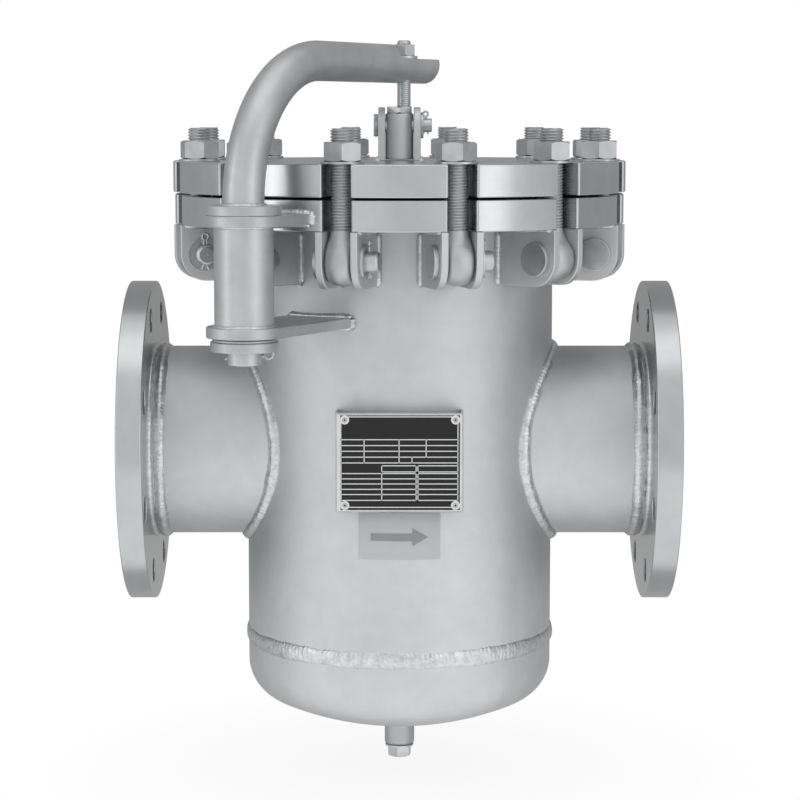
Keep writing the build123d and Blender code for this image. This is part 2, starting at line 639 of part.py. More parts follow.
def basket_handle():
    """Bail that stands on the rim and reaches up under the cover."""
    top = COVER_BOTTOM - HANDLE_HEADROOM - HANDLE_R
    reach = HANDLE_CIRCLE_R
    shoulder = top - HANDLE_BEND_R
    inner = reach - HANDLE_BEND_R
    path = Plane.YZ * (
        Line((-reach, 0), (-reach, shoulder))
        + RadiusArc((-reach, shoulder), (-inner, top), HANDLE_BEND_R)
        + Line((-inner, top), (inner, top))
        + RadiusArc((inner, top), (reach, shoulder), HANDLE_BEND_R)
        + Line((reach, shoulder), (reach, 0))
    )
    bail = sweep(Pos(0, -reach, 0) * Circle(HANDLE_R), path=path)
    return bail & half_space_above(BASKET_RIM_T)


def nameplate_bracket():
    """Bent sheet that holds the nameplate clear of the shell."""
    depth = BRACKET_STANDOFF + BRACKET_T + SHELL_R
    front = Pos(0, BRACKET_FRONT_Y, 0) * Box(
        PLATE_WIDTH, BRACKET_T, PLATE_HEIGHT, align=(Align.CENTER, Align.MIN, Align.CENTER)
    )
    bracket = front
    for side in (-1, 1):
        bracket += Pos(side * (PLATE_WIDTH - BRACKET_T) / 2, BRACKET_FRONT_Y, 0) * Box(
            BRACKET_T, depth, PLATE_HEIGHT, align=(Align.CENTER, Align.MIN, Align.CENTER)
        )
    return bracket - disc(SHELL_R, -PLATE_HEIGHT, PLATE_HEIGHT)


def nameplate():
    """Thin plate riveted on the bracket."""
    return Pos(0, BRACKET_FRONT_Y - NAMEPLATE_T, 0) * Box(
        PLATE_WIDTH - 2 * NAMEPLATE_BORDER,
        NAMEPLATE_T,
        PLATE_HEIGHT - 2 * NAMEPLATE_BORDER,
        align=(Align.CENTER, Align.MIN, Align.CENTER),
    )


def nameplate_rivets():
    """Four rivet heads near the corners of the plate."""
    across = PLATE_WIDTH / 2 - RIVET_INSET
    up = PLATE_HEIGHT / 2 - RIVET_INSET
    head = Rot(90, 0, 0) * disc(RIVET_R, 0, RIVET_HEIGHT)
    face = BRACKET_FRONT_Y - NAMEPLATE_T
    places = [(x, z) for x in (-across, across) for z in (-up, up)]
    return [Pos(x, face, z) * head for x, z in places]


def flow_arrow_film():
    """Thin film on the shell that carries the flow arrow."""
    under = SHELL_R + FILM_GLUE_T
    skin = ring(
        under + FILM_T,
        under,
        FILM_CENTRE_Z - FILM_HEIGHT / 2,
        FILM_CENTRE_Z + FILM_HEIGHT / 2,
    )
    patch = Pos(0, -SHELL_R, FILM_CENTRE_Z) * Box(FILM_WIDTH, SHELL_R, FILM_HEIGHT)
    return skin & patch


def write(name, shape):
    """Move a piece from the vessel axis to the part's origin and write it."""
    export_step(PLACE * shape, os.path.join("parts", name + ".step"))


def write_vessel():
    """The welded vessel and what is fixed to it."""
    write("body_shell", body_shell())
    write("dished_head", dished_head())
    write("drain_socket", drain_socket())
    write("inlet_nozzle", nozzle(-1))
    write("outlet_nozzle", nozzle(1))
    write("inlet_flange", pipe_flange(-1))
    write("outlet_flange", pipe_flange(1))
    body_flange = slotted_disc(BODY_FLANGE_R, BODY_FLANGE_BOTTOM, BODY_FLANGE_TOP, SHELL_BORE_R)
    write("body_flange", body_flange)
    write("cover_gasket", ring(GASKET_R, SHELL_BORE_R, BODY_FLANGE_TOP, COVER_BOTTOM))
    write("basket_seat_plate", basket_seat())
    lugs = [at_bolt(angle, bolt_lug(side)) for angle in bolt_angles() for side in (-1, 1)]
    write("bolt_lugs", Compound(lugs))
    write("lug_pins", round_bolt_circle(lug_pin()))
    keepers = Compound([lug_pin_washer(), lug_split_pin()])
    write("lug_pin_washers_and_split_pins", round_bolt_circle(keepers))
    top_plate = davit_plate(DAVIT_TOP_PLATE_BOTTOM, BODY_FLANGE_R)
    write("davit_plates", Compound([top_plate, davit_plate(DAVIT_LOW_PLATE_BOTTOM, SHELL_R)]))
    write("davit_sleeve", davit_sleeve())
    write("davit_bushes", davit_bushes())
    write("nameplate_bracket", nameplate_bracket())
    write("nameplate_and_rivets", Compound([nameplate()] + nameplate_rivets()))
    write("flow_arrow_film", flow_arrow_film())


def write_drain_plug():
    """The plug and its seal ring."""
    seal = ring(PLUG_SEAL_R, DRAIN_BORE_R, DRAIN_BOTTOM - PLUG_SEAL_T, DRAIN_BOTTOM)
    write("drain_plug_and_seal", Compound([drain_plug(), seal]))


def write_swing_bolts():
    """Twelve swing bolts, each with its own nut and washer."""
    for number, angle in enumerate(bolt_angles(), start=1):
        write(f"swing_bolt_{number:02d}", at_bolt(angle, swing_bolt()))
        pair = Compound([at_bolt(angle, solid) for solid in nut_and_washer()])
        write(f"nut_and_washer_{number:02d}", pair)


def write_cover_and_davit():
    """The blind cover and the davit that carries it."""
    write("cover", slotted_disc(COVER_R, COVER_BOTTOM, COVER_TOP))
    write("cover_clevis", Compound([clevis_wall(-1), clevis_wall(1)]))
    write("clevis_pin", clevis_pin())
    write("clevis_washer_and_split_pin", Compound([clevis_washer(), clevis_split_pin()]))
    write("rod_barrel", rod_barrel())
    write("rod_locknut_and_washer", Compound([rod_locknut(), rod_washer()]))
    write("lifting_rod", lifting_rod())
    write("lifting_nut", lifting_nut())
    write("davit_arm", davit_arm())
    collar = edge_chamfered(disc(COLLAR_R, DAVIT_TOP_PLATE_TOP, ARM_FOOT_Z), BROKEN_EDGE)
    collar -= disc(POST_R, DAVIT_TOP_PLATE_TOP, ARM_FOOT_Z)
    write("davit_collar", DAVIT_AXIS * collar)
    shim = ring(POST_SHIM_R, POST_R, POST_WASHER_TOP, SHIM_TOP)
    thick = edge_chamfered(disc(POST_WASHER_R, POST_WASHER_BOTTOM, POST_WASHER_TOP), BROKEN_EDGE)
    thick -= disc(POST_R, POST_WASHER_BOTTOM, POST_WASHER_TOP)
    washers = [DAVIT_AXIS * shim, DAVIT_AXIS * thick]
    write("post_washers_and_split_pin", Compound(washers + [post_split_pin()]))


def write_basket():
    """The basket that lifts out through the open cover."""
    write("basket_screen", basket_screen())
    write("basket_liner", basket_liner())
    write("basket_rim", basket_rim())
    write("basket_floor", basket_floor())
    write("basket_handle", basket_handle())


os.makedirs("parts", exist_ok=True)
write_vessel()
write_drain_plug()
write_swing_bolts()
write_cover_and_davit()
write_basket()
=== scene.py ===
# %% [markdown]
# # A basket strainer, dressed for its portrait
# The packed model is the frame: every length below is read from it, in metres. Each cell
# adds the skin of one piece of the real strainer, worked out as a surface with numpy, and
# hangs it on the body that carries that piece.

# %% Load the frame
import bmesh
import bpy
import numpy as np
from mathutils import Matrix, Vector


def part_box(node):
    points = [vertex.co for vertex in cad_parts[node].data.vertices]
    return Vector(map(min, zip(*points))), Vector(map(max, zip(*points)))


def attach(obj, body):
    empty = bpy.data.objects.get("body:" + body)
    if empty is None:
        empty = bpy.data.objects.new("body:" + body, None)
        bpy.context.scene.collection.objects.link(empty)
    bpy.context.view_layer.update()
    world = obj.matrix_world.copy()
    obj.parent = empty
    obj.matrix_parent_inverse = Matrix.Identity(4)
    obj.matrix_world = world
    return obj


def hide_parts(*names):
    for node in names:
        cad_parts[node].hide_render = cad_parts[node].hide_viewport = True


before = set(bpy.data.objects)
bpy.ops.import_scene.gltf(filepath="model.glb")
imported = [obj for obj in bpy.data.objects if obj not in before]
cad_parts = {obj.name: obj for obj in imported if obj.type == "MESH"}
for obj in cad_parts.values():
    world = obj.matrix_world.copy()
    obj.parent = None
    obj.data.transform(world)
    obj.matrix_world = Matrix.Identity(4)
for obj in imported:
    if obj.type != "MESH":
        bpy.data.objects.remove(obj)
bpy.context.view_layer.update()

MM = 0.001
TAU = 2 * np.pi
rng = np.random.default_rng(7)

# %% [markdown]
# ## Sizes from the frame
# A node's box gives its radius, its height and the place of its axis, so a piece that is
# drawn here sits where the solid sits. Only wall thicknesses and edge roundings, which a
# box can't show, are written as numbers.

# %% Read boxes
def low(node):
    """Lowest corner of a node as an array."""
    return np.array(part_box(node)[0])


def high(node):
    """Highest corner of a node as an array."""
    return np.array(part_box(node)[1])


def middle(node):
    """Centre of a node's box."""
    return (low(node) + high(node)) / 2


def radius(node, along=1):
    """Half of a node's width along one row axis."""
    return (high(node) - low(node))[along] / 2


AXIS = np.array([middle("body_flange")[0], middle("body_flange")[1], 0.0])
SHELL_R = radius("body_shell")
SHELL_WALL = 4 * MM
SEAM_Z = low("body_shell")[2]
FLANGE_LOW = low("body_flange")[2]
FLANGE_TOP = high("body_flange")[2]
FLANGE_R = radius("body_flange", 0)
COVER_LOW = low("cover")[2]
COVER_TOP = high("cover")[2]
COVER_R = radius("cover", 0)
PIPE_R = radius("inlet_nozzle")
PIPE_WALL = 4.5 * MM
PIPE_Z = middle("inlet_nozzle")[2]
BOLT_COUNT = 12
BOLT_R = 10 * MM
SLOT_R = 12 * MM
MOUTH_R = 2 * MM
BOLT_TURN = [TAU / BOLT_COUNT * (index + 0.5) for index in range(BOLT_COUNT)]
BOLT_MIDDLE = middle("nut_and_washer_01")
BOLT_CIRCLE_R = float(np.hypot(*(BOLT_MIDDLE - AXIS)[:2]))
PIN_Z = middle("lug_pins")[2]
print("shell radius", SHELL_R, "bolt circle radius", BOLT_CIRCLE_R, "pin height", PIN_Z)

# %% [markdown]
# ## The camera
# The photograph was fitted with a plain pinhole: the ellipses of the flanges give a pitch of
# 6.7 degrees, and the near and far sides of the pipe flanges give the distance. The lens
# length follows from the pixels per millimetre on the vessel axis.

# %% Camera
PITCH = np.radians(6.7)
DISTANCE = 2.155
FOCAL_PIXELS = 2393.5
FRAME_PIXELS = 800
SENSOR_WIDTH = 36.0
AIM = AXIS + np.array([0.0005, 0.0, 0.0353])

camera_data = bpy.data.cameras.new("photo_camera")
camera_data.sensor_width = SENSOR_WIDTH
camera_data.lens = FOCAL_PIXELS / FRAME_PIXELS * SENSOR_WIDTH
camera = bpy.data.objects.new("photo_camera", camera_data)
camera.location = Vector(AIM + DISTANCE * np.array([0.0, -np.cos(PITCH), np.sin(PITCH)]))
camera.rotation_euler = (np.pi / 2 - PITCH, 0.0, 0.0)
bpy.context.scene.collection.objects.link(camera)
bpy.context.scene.camera = camera
bpy.context.scene.view_settings.view_transform = "Standard"
print("camera stands at", tuple(round(v, 4) for v in camera.location))

# %% [markdown]
# ## Shader maths as plain expressions
# A shader can be clicked together by hand or written in code. Code repeats better, and it
# reads better as arithmetic, so `Sock` wraps one output socket and turns `a * b + c` and
# `1 - mask` into Math nodes.

# %% Wrapped sockets
class Sock:
    """One number or colour on its way through a shader, with arithmetic."""

    def __init__(self, owner, link):
        self.owner = owner
        self.link = link

    def maths(self, operation, first, second):
        """Result of one Math node on two numbers or sockets."""
        made = self.owner.node("ShaderNodeMath", {"operation": operation}, {0: first, 1: second})
        return made["Value"]

    def __add__(self, other):
        return self.maths("ADD", self, other)

    def __sub__(self, other):
        return self.maths("SUBTRACT", self, other)

    def __rsub__(self, other):
        return self.maths("SUBTRACT", other, self)

    def __mul__(self, other):
        return self.maths("MULTIPLY", self, other)

    __radd__ = __add__
    __rmul__ = __mul__


print("a socket knows", [name for name in vars(Sock) if name.startswith("__r")])

# %% [markdown]
# Every other node comes from one method, so a whole material is a few lines: the type of
# node first, then its settings, then what goes into its sockets.

# %% Nodes of a material or of the room
class Nodes:
    """The nodes of one material or of the room."""

    def __init__(self, tree):
        self.tree = tree

    def node(self, kind, settings=None, inputs=None):
        """Add a node: settings first, then values or links. Its outputs go by number and name."""
        made = self.tree.nodes.new(kind)
        for key, value in (settings or {}).items():
            if key == "stops":
                self.set_stops(made.color_ramp, value)
            else:
                setattr(made, key, value)
        for key, value in (inputs or {}).items():
            self.feed(made.inputs[key], value)
        found = [Sock(self, socket) for socket in made.outputs]
        return {**dict(enumerate(found)), **{sock.link.name: sock for sock in found}}

    def feed(self, socket, value):
        """Link a wrapped socket, or set a plain value."""
        if isinstance(value, Sock):
            self.tree.links.new(value.link, socket)
        else:
            socket.default_value = value

    def set_stops(self, ramp, stops):
        """Give a ramp its stops, each a place and a grey."""
        while len(ramp.elements) < len(stops):
            ramp.elements.new(0.5)
        for element, (place, level) in zip(ramp.elements, stops):
            element.position = place
            element.color = (level, level, level, 1)


class Finish(Nodes):
    """One material on object coordinates."""

    def __init__(self, name):
        self.material = bpy.data.materials.new(name)
        self.material.use_nodes = True
        super().__init__(self.material.node_tree)
        self.shader = self.tree.nodes["Principled BSDF"]
        self.place = self.node("ShaderNodeTexCoord")["Object"]

    def set(self, **values):
        """Set or link the shader's own sockets; underscores stand for spaces."""
        for key, value in values.items():
            self.feed(self.shader.inputs[key.replace("_", " ")], value)

    def noise(self, scale, detail=3.0, stretch=(1.0, 1.0, 1.0)):
        """Noise on object coordinates, stretched along the row axes."""
        moved = self.node("ShaderNodeMapping", None, {"Vector": self.place, "Scale": stretch})
        settings = {"Vector": moved["Vector"], "Scale": scale, "Detail": detail, "Roughness": 0.6}
        return self.node("ShaderNodeTexNoise", None, settings)["Fac"]

    def tint(self, amount, dark, light):
        """Colour between two colours, by an amount from 0 to 1."""
        ends = {0: amount, 6: (*dark, 1.0), 7: (*light, 1.0)}
        return self.node("ShaderNodeMix", {"data_type": "RGBA", "clamp_factor": True}, ends)[2]

    def bump(self, height, strength, distance):
        """Normal from a height in 0 to 1."""
        relief = {"Height": height, "Strength": strength, "Distance": distance}
        return self.node("ShaderNodeBump", None, relief)["Normal"]


print("a finish can", [name for name in vars(Finish) if not name.startswith("_")])

# %% [markdown]
# ## Finishes
# The vessel is glass bead blasted stainless: a satin grey with a fine grain and soft clouds
# left by handling. The rims are turned, so they keep fine lines and a brighter shine. The
# bolts are bright but scratched, and the weld beads are silvery and rippled. One recipe makes
# them all from noise at three scales, because a picture of steel would show its seams.

# %% Stainless finishes
def stainless(name, dark, light, rough, rough_spread, grain, grain_depth, clouds=9.0,
              stretch=(1.0, 1.0, 1.0), mottle=60.0):
    """Metal whose colour drifts in clouds and mottles, with a grain in roughness and normal."""
    finish = Finish(name)
    cloud = finish.noise(clouds, 4.0)
    spots = finish.noise(mottle, 2.0)
    fine = finish.noise(grain, 2.0, stretch)
    finish.set(
        Base_Color=finish.tint(cloud * 1.3 + spots * 0.7 - 0.5, dark, light),
        Metallic=1.0,
        Roughness=cloud * rough_spread + fine * 0.06 + (rough - rough_spread / 2),
        Normal=finish.bump(fine, 0.35, grain_depth),
    )
    return finish.material


def grey(value, cool=0.012):
    """Steel grey with a touch of blue."""
    return (value - cool, value, value + cool * 0.6)


BLASTED = stainless("blasted_stainless", grey(0.65), grey(0.78), 0.55, 0.08, 900.0, 0.00012)
TURNED = stainless("turned_stainless", grey(0.54), grey(0.64), 0.22, 0.08, 700.0, 0.00006,
                   12.0, (0.05, 0.05, 3.0))
FACED = stainless("faced_stainless", grey(0.50), grey(0.70), 0.46, 0.12, 500.0, 0.0001, 14.0)
DRAWN = stainless("drawn_bar", grey(0.54), grey(0.72), 0.43, 0.12, 600.0, 0.0001, 16.0,
                  (1.0, 1.0, 0.15))
FORGED = stainless("forged_eye", grey(0.52), grey(0.68), 0.48, 0.10, 700.0, 0.0001, 40.0)
BRIGHT = stainless("bright_fastener", grey(0.50), grey(0.66), 0.32, 0.12, 800.0, 0.00005, 60.0)
ZINC = stainless("bright_plug", grey(0.80), grey(0.92), 0.25, 0.10, 800.0, 0.00005, 60.0)
WELD = stainless("weld_metal", grey(0.46), grey(0.95), 0.30, 0.20, 420.0, 0.0016, 160.0,
                 mottle=520.0)
SHEET = stainless("basket_sheet", grey(0.44), grey(0.56), 0.42, 0.10, 600.0, 0.0001)
print("steel finishes", [material.name for material in bpy.data.materials])

# %% [markdown]
# Printed fields, film, gasket and bronze have no grain to show. A flat colour would look
# dead next to the steel, so each drifts a little in tone and gloss.

# %% Plate, film, gasket and bush finishes
def paint(name, dark, light, rough, metallic=0.0, alpha=1.0):
    """Flat finish with a little drift in tone and gloss."""
    finish = Finish(name)
    drift = finish.noise(120.0, 3.0)
    finish.set(
        Base_Color=finish.tint(drift, dark, light),
        Metallic=metallic,
        Roughness=drift * 0.1 + rough,
        Normal=finish.bump(drift, 0.1, 0.00005),
        Alpha=alpha,
    )
    return finish.material


PLATE_BLACK = paint("plate_black", grey(0.008, 0), grey(0.012, 0), 0.6)
PLATE_LINE = paint("plate_line", grey(0.86), grey(0.92), 0.5)
FILM = paint("arrow_film", grey(0.77), grey(0.81), 0.40, alpha=0.7)
ARROW = paint("arrow_print", grey(0.34), grey(0.37), 0.6)
GASKET = paint("gasket_fibre", grey(0.01, 0), grey(0.02, 0), 0.8)
BRONZE = paint("bush_bronze", (0.42, 0.25, 0.08), (0.52, 0.32, 0.12), 0.3, 1.0)
print("in all", len(bpy.data.materials), "materials")

# %% [markdown]
# ## Surfaces
# Every skin is a grid: rows of points carried round an axis or along a path. `grid_faces`
# joins neighbours into quads, and `piece` turns arrays into an object, rounds its corners
# if asked, sharpens the edges that stay, and hangs it on its body.

# %% Faces of a grid
def grid_faces(rows, columns, wrap_rows=False, wrap_columns=True):
    """Quads between neighbours of a grid of points numbered row by row."""
    row = np.arange(rows if wrap_rows else rows - 1)
    column = np.arange(columns if wrap_columns else columns - 1)
    r, c = np.meshgrid(row, column, indexing="ij")
    next_r = (r + 1) % rows
    next_c = (c + 1) % columns
    quads = np.stack(
        [r * columns + c, r * columns + next_c, next_r * columns + next_c, next_r * columns + c], -1
    )
    return quads.reshape(-1, 4).tolist()


print("an open band of 2 by 8 points has", len(grid_faces(2, 8)), "faces")

# %% [markdown]
# A piece is finished in the same order each time: merge what meets, turn the faces outwards,
# mark the sharp edges, round them with a live bevel, and say which body carries it.

# %% Make a piece
MERGE = 1e-6
BEVEL_ANGLE = np.radians(40)


def piece(name, parts, material, body, nodes=(), bevel=0.0, sharp=35.0):
    """Object from a list of (points, faces): merged, turned outwards, smoothed and hung."""
    points, faces = [], []
    for part_points, part_faces in parts:
        start = sum(len(block) for block in points)
        points.append(np.asarray(part_points).reshape(-1, 3))
        faces.extend([[index + start for index in face] for face in part_faces])
    mesh = bpy.data.meshes.new(name)
    mesh.from_pydata(np.concatenate(points).tolist(), [], faces)
    work = bmesh.new()
    work.from_mesh(mesh)
    bmesh.ops.remove_doubles(work, verts=work.verts, dist=MERGE)
    bmesh.ops.dissolve_degenerate(work, edges=work.edges, dist=MERGE)
    bmesh.ops.recalc_face_normals(work, faces=work.faces)
    work.to_mesh(mesh)
    work.free()
    mesh.shade_smooth()
    mesh.set_sharp_from_angle(angle=np.radians(sharp))
    mesh.materials.append(material)
    made = bpy.data.objects.new(name, mesh)
    bpy.context.scene.collection.objects.link(made)
    if bevel:
        rounding = made.modifiers.new("edge", "BEVEL")
        rounding.width = bevel
        rounding.segments = 2
        rounding.limit_method = "ANGLE"
        rounding.angle_limit = BEVEL_ANGLE
        rounding.harden_normals = True
    made.modifiers.new("flat_faces", "WEIGHTED_NORMAL").keep_sharp = True
    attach(made, body)
    if nodes:
        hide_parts(*nodes)
    print(name, len(mesh.polygons), "faces on", body)

# %% [markdown]
# Most pieces come off a lathe, so most skins are a profile carried round an axis. No turned
# edge is dead sharp: `rounded` swaps each corner of a profile for a small curve first.

# %% Turned shapes
def turned(profile, steps=96, centre=(0, 0, 0), axis="Z", closed=True):
    """Surface of revolution: each profile point (r, h) goes round the axis through centre.

    x = r cos t, y = r sin t, height = h, with the height along the named axis.
    """
    profile = np.asarray(profile, float)
    t = np.arange(steps) * TAU / steps
    r = profile[:, 0][:, None]
    h = np.repeat(profile[:, 1][:, None], steps, 1)
    a = r * np.cos(t)
    b = r * np.sin(t)
    stacked = {"Z": (a, b, h), "X": (h, a, b), "Y": (b, h, a)}[axis]
    points = np.stack(stacked, -1) + np.asarray(centre)
    return points.reshape(-1, 3), grid_faces(len(profile), steps, wrap_rows=closed)


def rounded(corners, size, steps=4):
    """Profile whose sharp corners are replaced by small curves of the given size.

    With start and end on the two sides: (1 - s)^2 start + 2 s (1 - s) corner + s^2 end.
    """
    here = np.asarray(corners, float)
    before = np.roll(here, 1, 0) - here
    after = np.roll(here, -1, 0) - here
    before_length = np.linalg.norm(before, axis=1)[:, None]
    after_length = np.linalg.norm(after, axis=1)[:, None]
    reach = np.minimum(size, 0.45 * np.minimum(before_length, after_length))
    start = here + before / before_length * reach
    end = here + after / after_length * reach
    s = np.linspace(0, 1, steps)[:, None]
    curves = (1 - s) ** 2 * start[:, None] + 2 * s * (1 - s) * here[:, None] + s**2 * end[:, None]
    return curves.reshape(-1, 2)


def washer_profile(inner, outer, bottom, top, edge):
    """Rectangle section of a ring, with rounded corners."""
    return rounded([(inner, bottom), (outer, bottom), (outer, top), (inner, top)], edge)


def spin_to(points, turn, centre=AXIS):
    """Points turned about the vertical through centre: x' = c x - s y, y' = s x + c y."""
    c, s = np.cos(turn), np.sin(turn)
    matrix = np.array([[c, -s, 0], [s, c, 0], [0, 0, 1]])
    centre = np.array([centre[0], centre[1], 0.0])
    return (np.asarray(points) - centre) @ matrix.T + centre


print("a ring section has", len(washer_profile(1, 2, 0, 1, 0.1)), "points")

# %% [markdown]
# ## Vessel: shell, head and nozzles
# The shell is a rolled sheet with two round openings, where the pipes are welded in. A plain
# surface of revolution would close them. Each half is unrolled instead, a grid runs from the
# opening's rim out to the four edges, and it is rolled up again, so the mouths stay round.

# %% Shell
BORE_R = PIPE_R - PIPE_WALL
SHELL_AROUND = 240


def shell_half(r, side):
    """Half a cylinder from the rim of its opening to its four edges.

    Unrolled, each row is rim * (1 - s) + edge * s; rolled up, x = r cos(u / r), y = r sin(u / r).
    """
    quarter = r * TAU / 4
    across = np.linspace(-quarter, quarter, SHELL_AROUND // 2, endpoint=False)
    up = np.linspace(SEAM_Z, FLANGE_LOW, 60, endpoint=False)
    down = SEAM_Z + FLANGE_LOW - up
    edge_u = np.concatenate([across, quarter + 0 * up, -across, -quarter + 0 * up])
    edge_z = np.concatenate([SEAM_Z + 0 * across, up, FLANGE_LOW + 0 * across, down])
    a = np.arctan2(edge_u, edge_z - PIPE_Z)
    s = np.linspace(0, 1, 28)[:, None]
    u = r * np.arcsin(BORE_R * np.sin(a) / r) * (1 - s) + edge_u * s
    z = (PIPE_Z + BORE_R * np.cos(a)) * (1 - s) + edge_z * s
    points = np.stack([side * r * np.cos(u / r), r * np.sin(u / r), z], -1) + AXIS
    return points, grid_faces(*u.shape)


def band(ring_a, ring_b):
    """Quads between two closed rings of as many points."""
    return np.concatenate([ring_a, ring_b]), grid_faces(2, len(ring_a))


def level_ring(r, z, steps):
    """Level circle about the vessel axis: x = r cos a, y = r sin a."""
    a = np.arange(steps) * TAU / steps
    return np.stack([r * np.cos(a), r * np.sin(a), z + 0 * a], -1) + AXIS


shell_parts = []
for side in (-1, 1):
    outer_half = shell_half(SHELL_R, side)
    inner_half = shell_half(SHELL_R - SHELL_WALL, side)
    shell_parts += [outer_half, inner_half, band(outer_half[0][0], inner_half[0][0])]
for z in (SEAM_Z, FLANGE_LOW):
    shell_parts.append(band(level_ring(SHELL_R, z, SHELL_AROUND),
                            level_ring(SHELL_R - SHELL_WALL, z, SHELL_AROUND)))
piece("shell_skin", shell_parts, BLASTED, "vessel", ["body_shell"], sharp=60)

# %% [markdown]
# The bottom is a pressed dish: a large crown arc that runs into a tight knuckle and then into
# a short straight skirt. Drawing those arcs keeps its outline true; a squashed ball wouldn't.

# %% Dished head
HEAD_BOTTOM = low("dished_head")[2]
CROWN_R = 273 * MM
KNUCKLE_R = 36 * MM
HEAD_STRAIGHT = 24.5 * MM


def head_profile(inset, steps=20):
    """Skirt, knuckle arc and crown arc of the head, drawn in by inset, from rim to axis.

    The knuckle's centre lies its radius inside the shell, and the crown's centre on the axis,
    crown radius less knuckle radius away, so that the two arcs share a tangent.
    """
    tangent = SEAM_Z - HEAD_STRAIGHT
    knuckle_at = SHELL_R - KNUCKLE_R
    crown_at = tangent + np.sqrt((CROWN_R - KNUCKLE_R) ** 2 - knuckle_at**2)
    slope = np.arctan2(knuckle_at, crown_at - tangent)
    a = np.linspace(np.pi / 2, slope, steps)
    knuckle = np.stack(
        [knuckle_at + (KNUCKLE_R - inset) * np.sin(a), tangent - (KNUCKLE_R - inset) * np.cos(a)], -1
    )
    b = np.linspace(slope, 0.03, steps)
    crown = np.stack([(CROWN_R - inset) * np.sin(b), crown_at - (CROWN_R - inset) * np.cos(b)], -1)
    rim = [(SHELL_R - inset, SEAM_Z)]
    return np.concatenate([rim, knuckle, crown[1:]])


head_section = np.concatenate([head_profile(0), head_profile(SHELL_WALL)[::-1]])
piece("head_skin", [turned(head_section, 192, AXIS)], BLASTED, "vessel",
      ["dished_head"], sharp=50)

# %% [markdown]
# Each pipe ends in a saddle where it meets the round shell. A boolean cut would leave thin
# faces, so the pipe's last row of points is put on the shell by the formula of the curve.

# %% Nozzle pipes
NOZZLE_ROWS = 16
NOZZLE_AROUND = 144


def nozzle_skin(side):
    """Pipe grid in angle and length, from the flange to the saddle on the shell.

    At angle t the pipe meets the shell where x = sqrt(R^2 - (r sin t)^2).
    """
    node = "inlet_nozzle" if side < 0 else "outlet_nozzle"
    reach = abs((low(node) if side < 0 else high(node))[0] - AXIS[0])
    t = np.arange(NOZZLE_AROUND) * TAU / NOZZLE_AROUND
    sheets = []
    for r in (PIPE_R, BORE_R):
        saddle = np.sqrt(SHELL_R**2 - (r * np.sin(t)) ** 2) - 0.5 * MM
        s = np.linspace(0, 1, NOZZLE_ROWS)[:, None]
        x = side * (reach * (1 - s) + saddle * s)
        y = np.broadcast_to(r * np.sin(t), x.shape)
        z = np.broadcast_to(r * np.cos(t), x.shape)
        sheets.append(np.stack([x, y, z + PIPE_Z], -1) + AXIS)
    faces = grid_faces(NOZZLE_ROWS, NOZZLE_AROUND)
    rims = [band(sheets[0][row], sheets[1][row]) for row in (0, -1)]
    return [(sheets[0], faces), (sheets[1], faces), *rims]


for side, node in ((-1, "inlet_nozzle"), (1, "outlet_nozzle")):
    piece(node + "_skin", nozzle_skin(side), BLASTED, "vessel", [node])

# %% [markdown]
# ## Flanges with slots or holes
# A flange face is cut into sectors that meet at the middle of each slot or hole, so each
# sector is a plain outline. The same outlines give the top, the bottom and the walls.

# %% Outlines of slots and holes
def arc(r, start, end, steps):
    """Points on a circle between two angles: r cos a, r sin a."""
    a = np.linspace(start, end, steps)
    return np.stack([r * np.cos(a), r * np.sin(a)], -1)


def slot_edge(rim_r):
    """Upper half of an open slot on the +X axis, from its end out to its rounded mouth.

    A quarter circle about the bolt, then an arc that touches the slot's side and the rim.
    """
    a = np.linspace(np.pi, np.pi / 2, 10)
    end = np.stack([BOLT_CIRCLE_R + SLOT_R * np.cos(a), SLOT_R * np.sin(a)], -1)
    centre_y = SLOT_R + MOUTH_R
    centre_x = np.sqrt((rim_r - MOUTH_R) ** 2 - centre_y**2)
    b = np.linspace(-np.pi / 2, np.arctan2(centre_y, centre_x), 6)
    mouth = np.stack([centre_x + MOUTH_R * np.cos(b), centre_y + MOUTH_R * np.sin(b)], -1)
    return np.concatenate([end, mouth])


def hole_edge(circle_r, hole_r, steps=12):
    """Upper half of a round hole on the +X axis, from inside to outside."""
    a = np.linspace(np.pi, 0, steps)
    return np.stack([circle_r + hole_r * np.cos(a), hole_r * np.sin(a)], -1)


def turned_2d(points, angle):
    """Points in a plane, turned about the centre."""
    c, s = np.cos(angle), np.sin(angle)
    return np.asarray(points) @ np.array([[c, s], [-s, c]])


def mirrored(points):
    """The lower half of an edge, from outside back to inside."""
    return (np.asarray(points) * [1, -1])[::-1]


print("half a slot has", len(slot_edge(COVER_R)), "points")

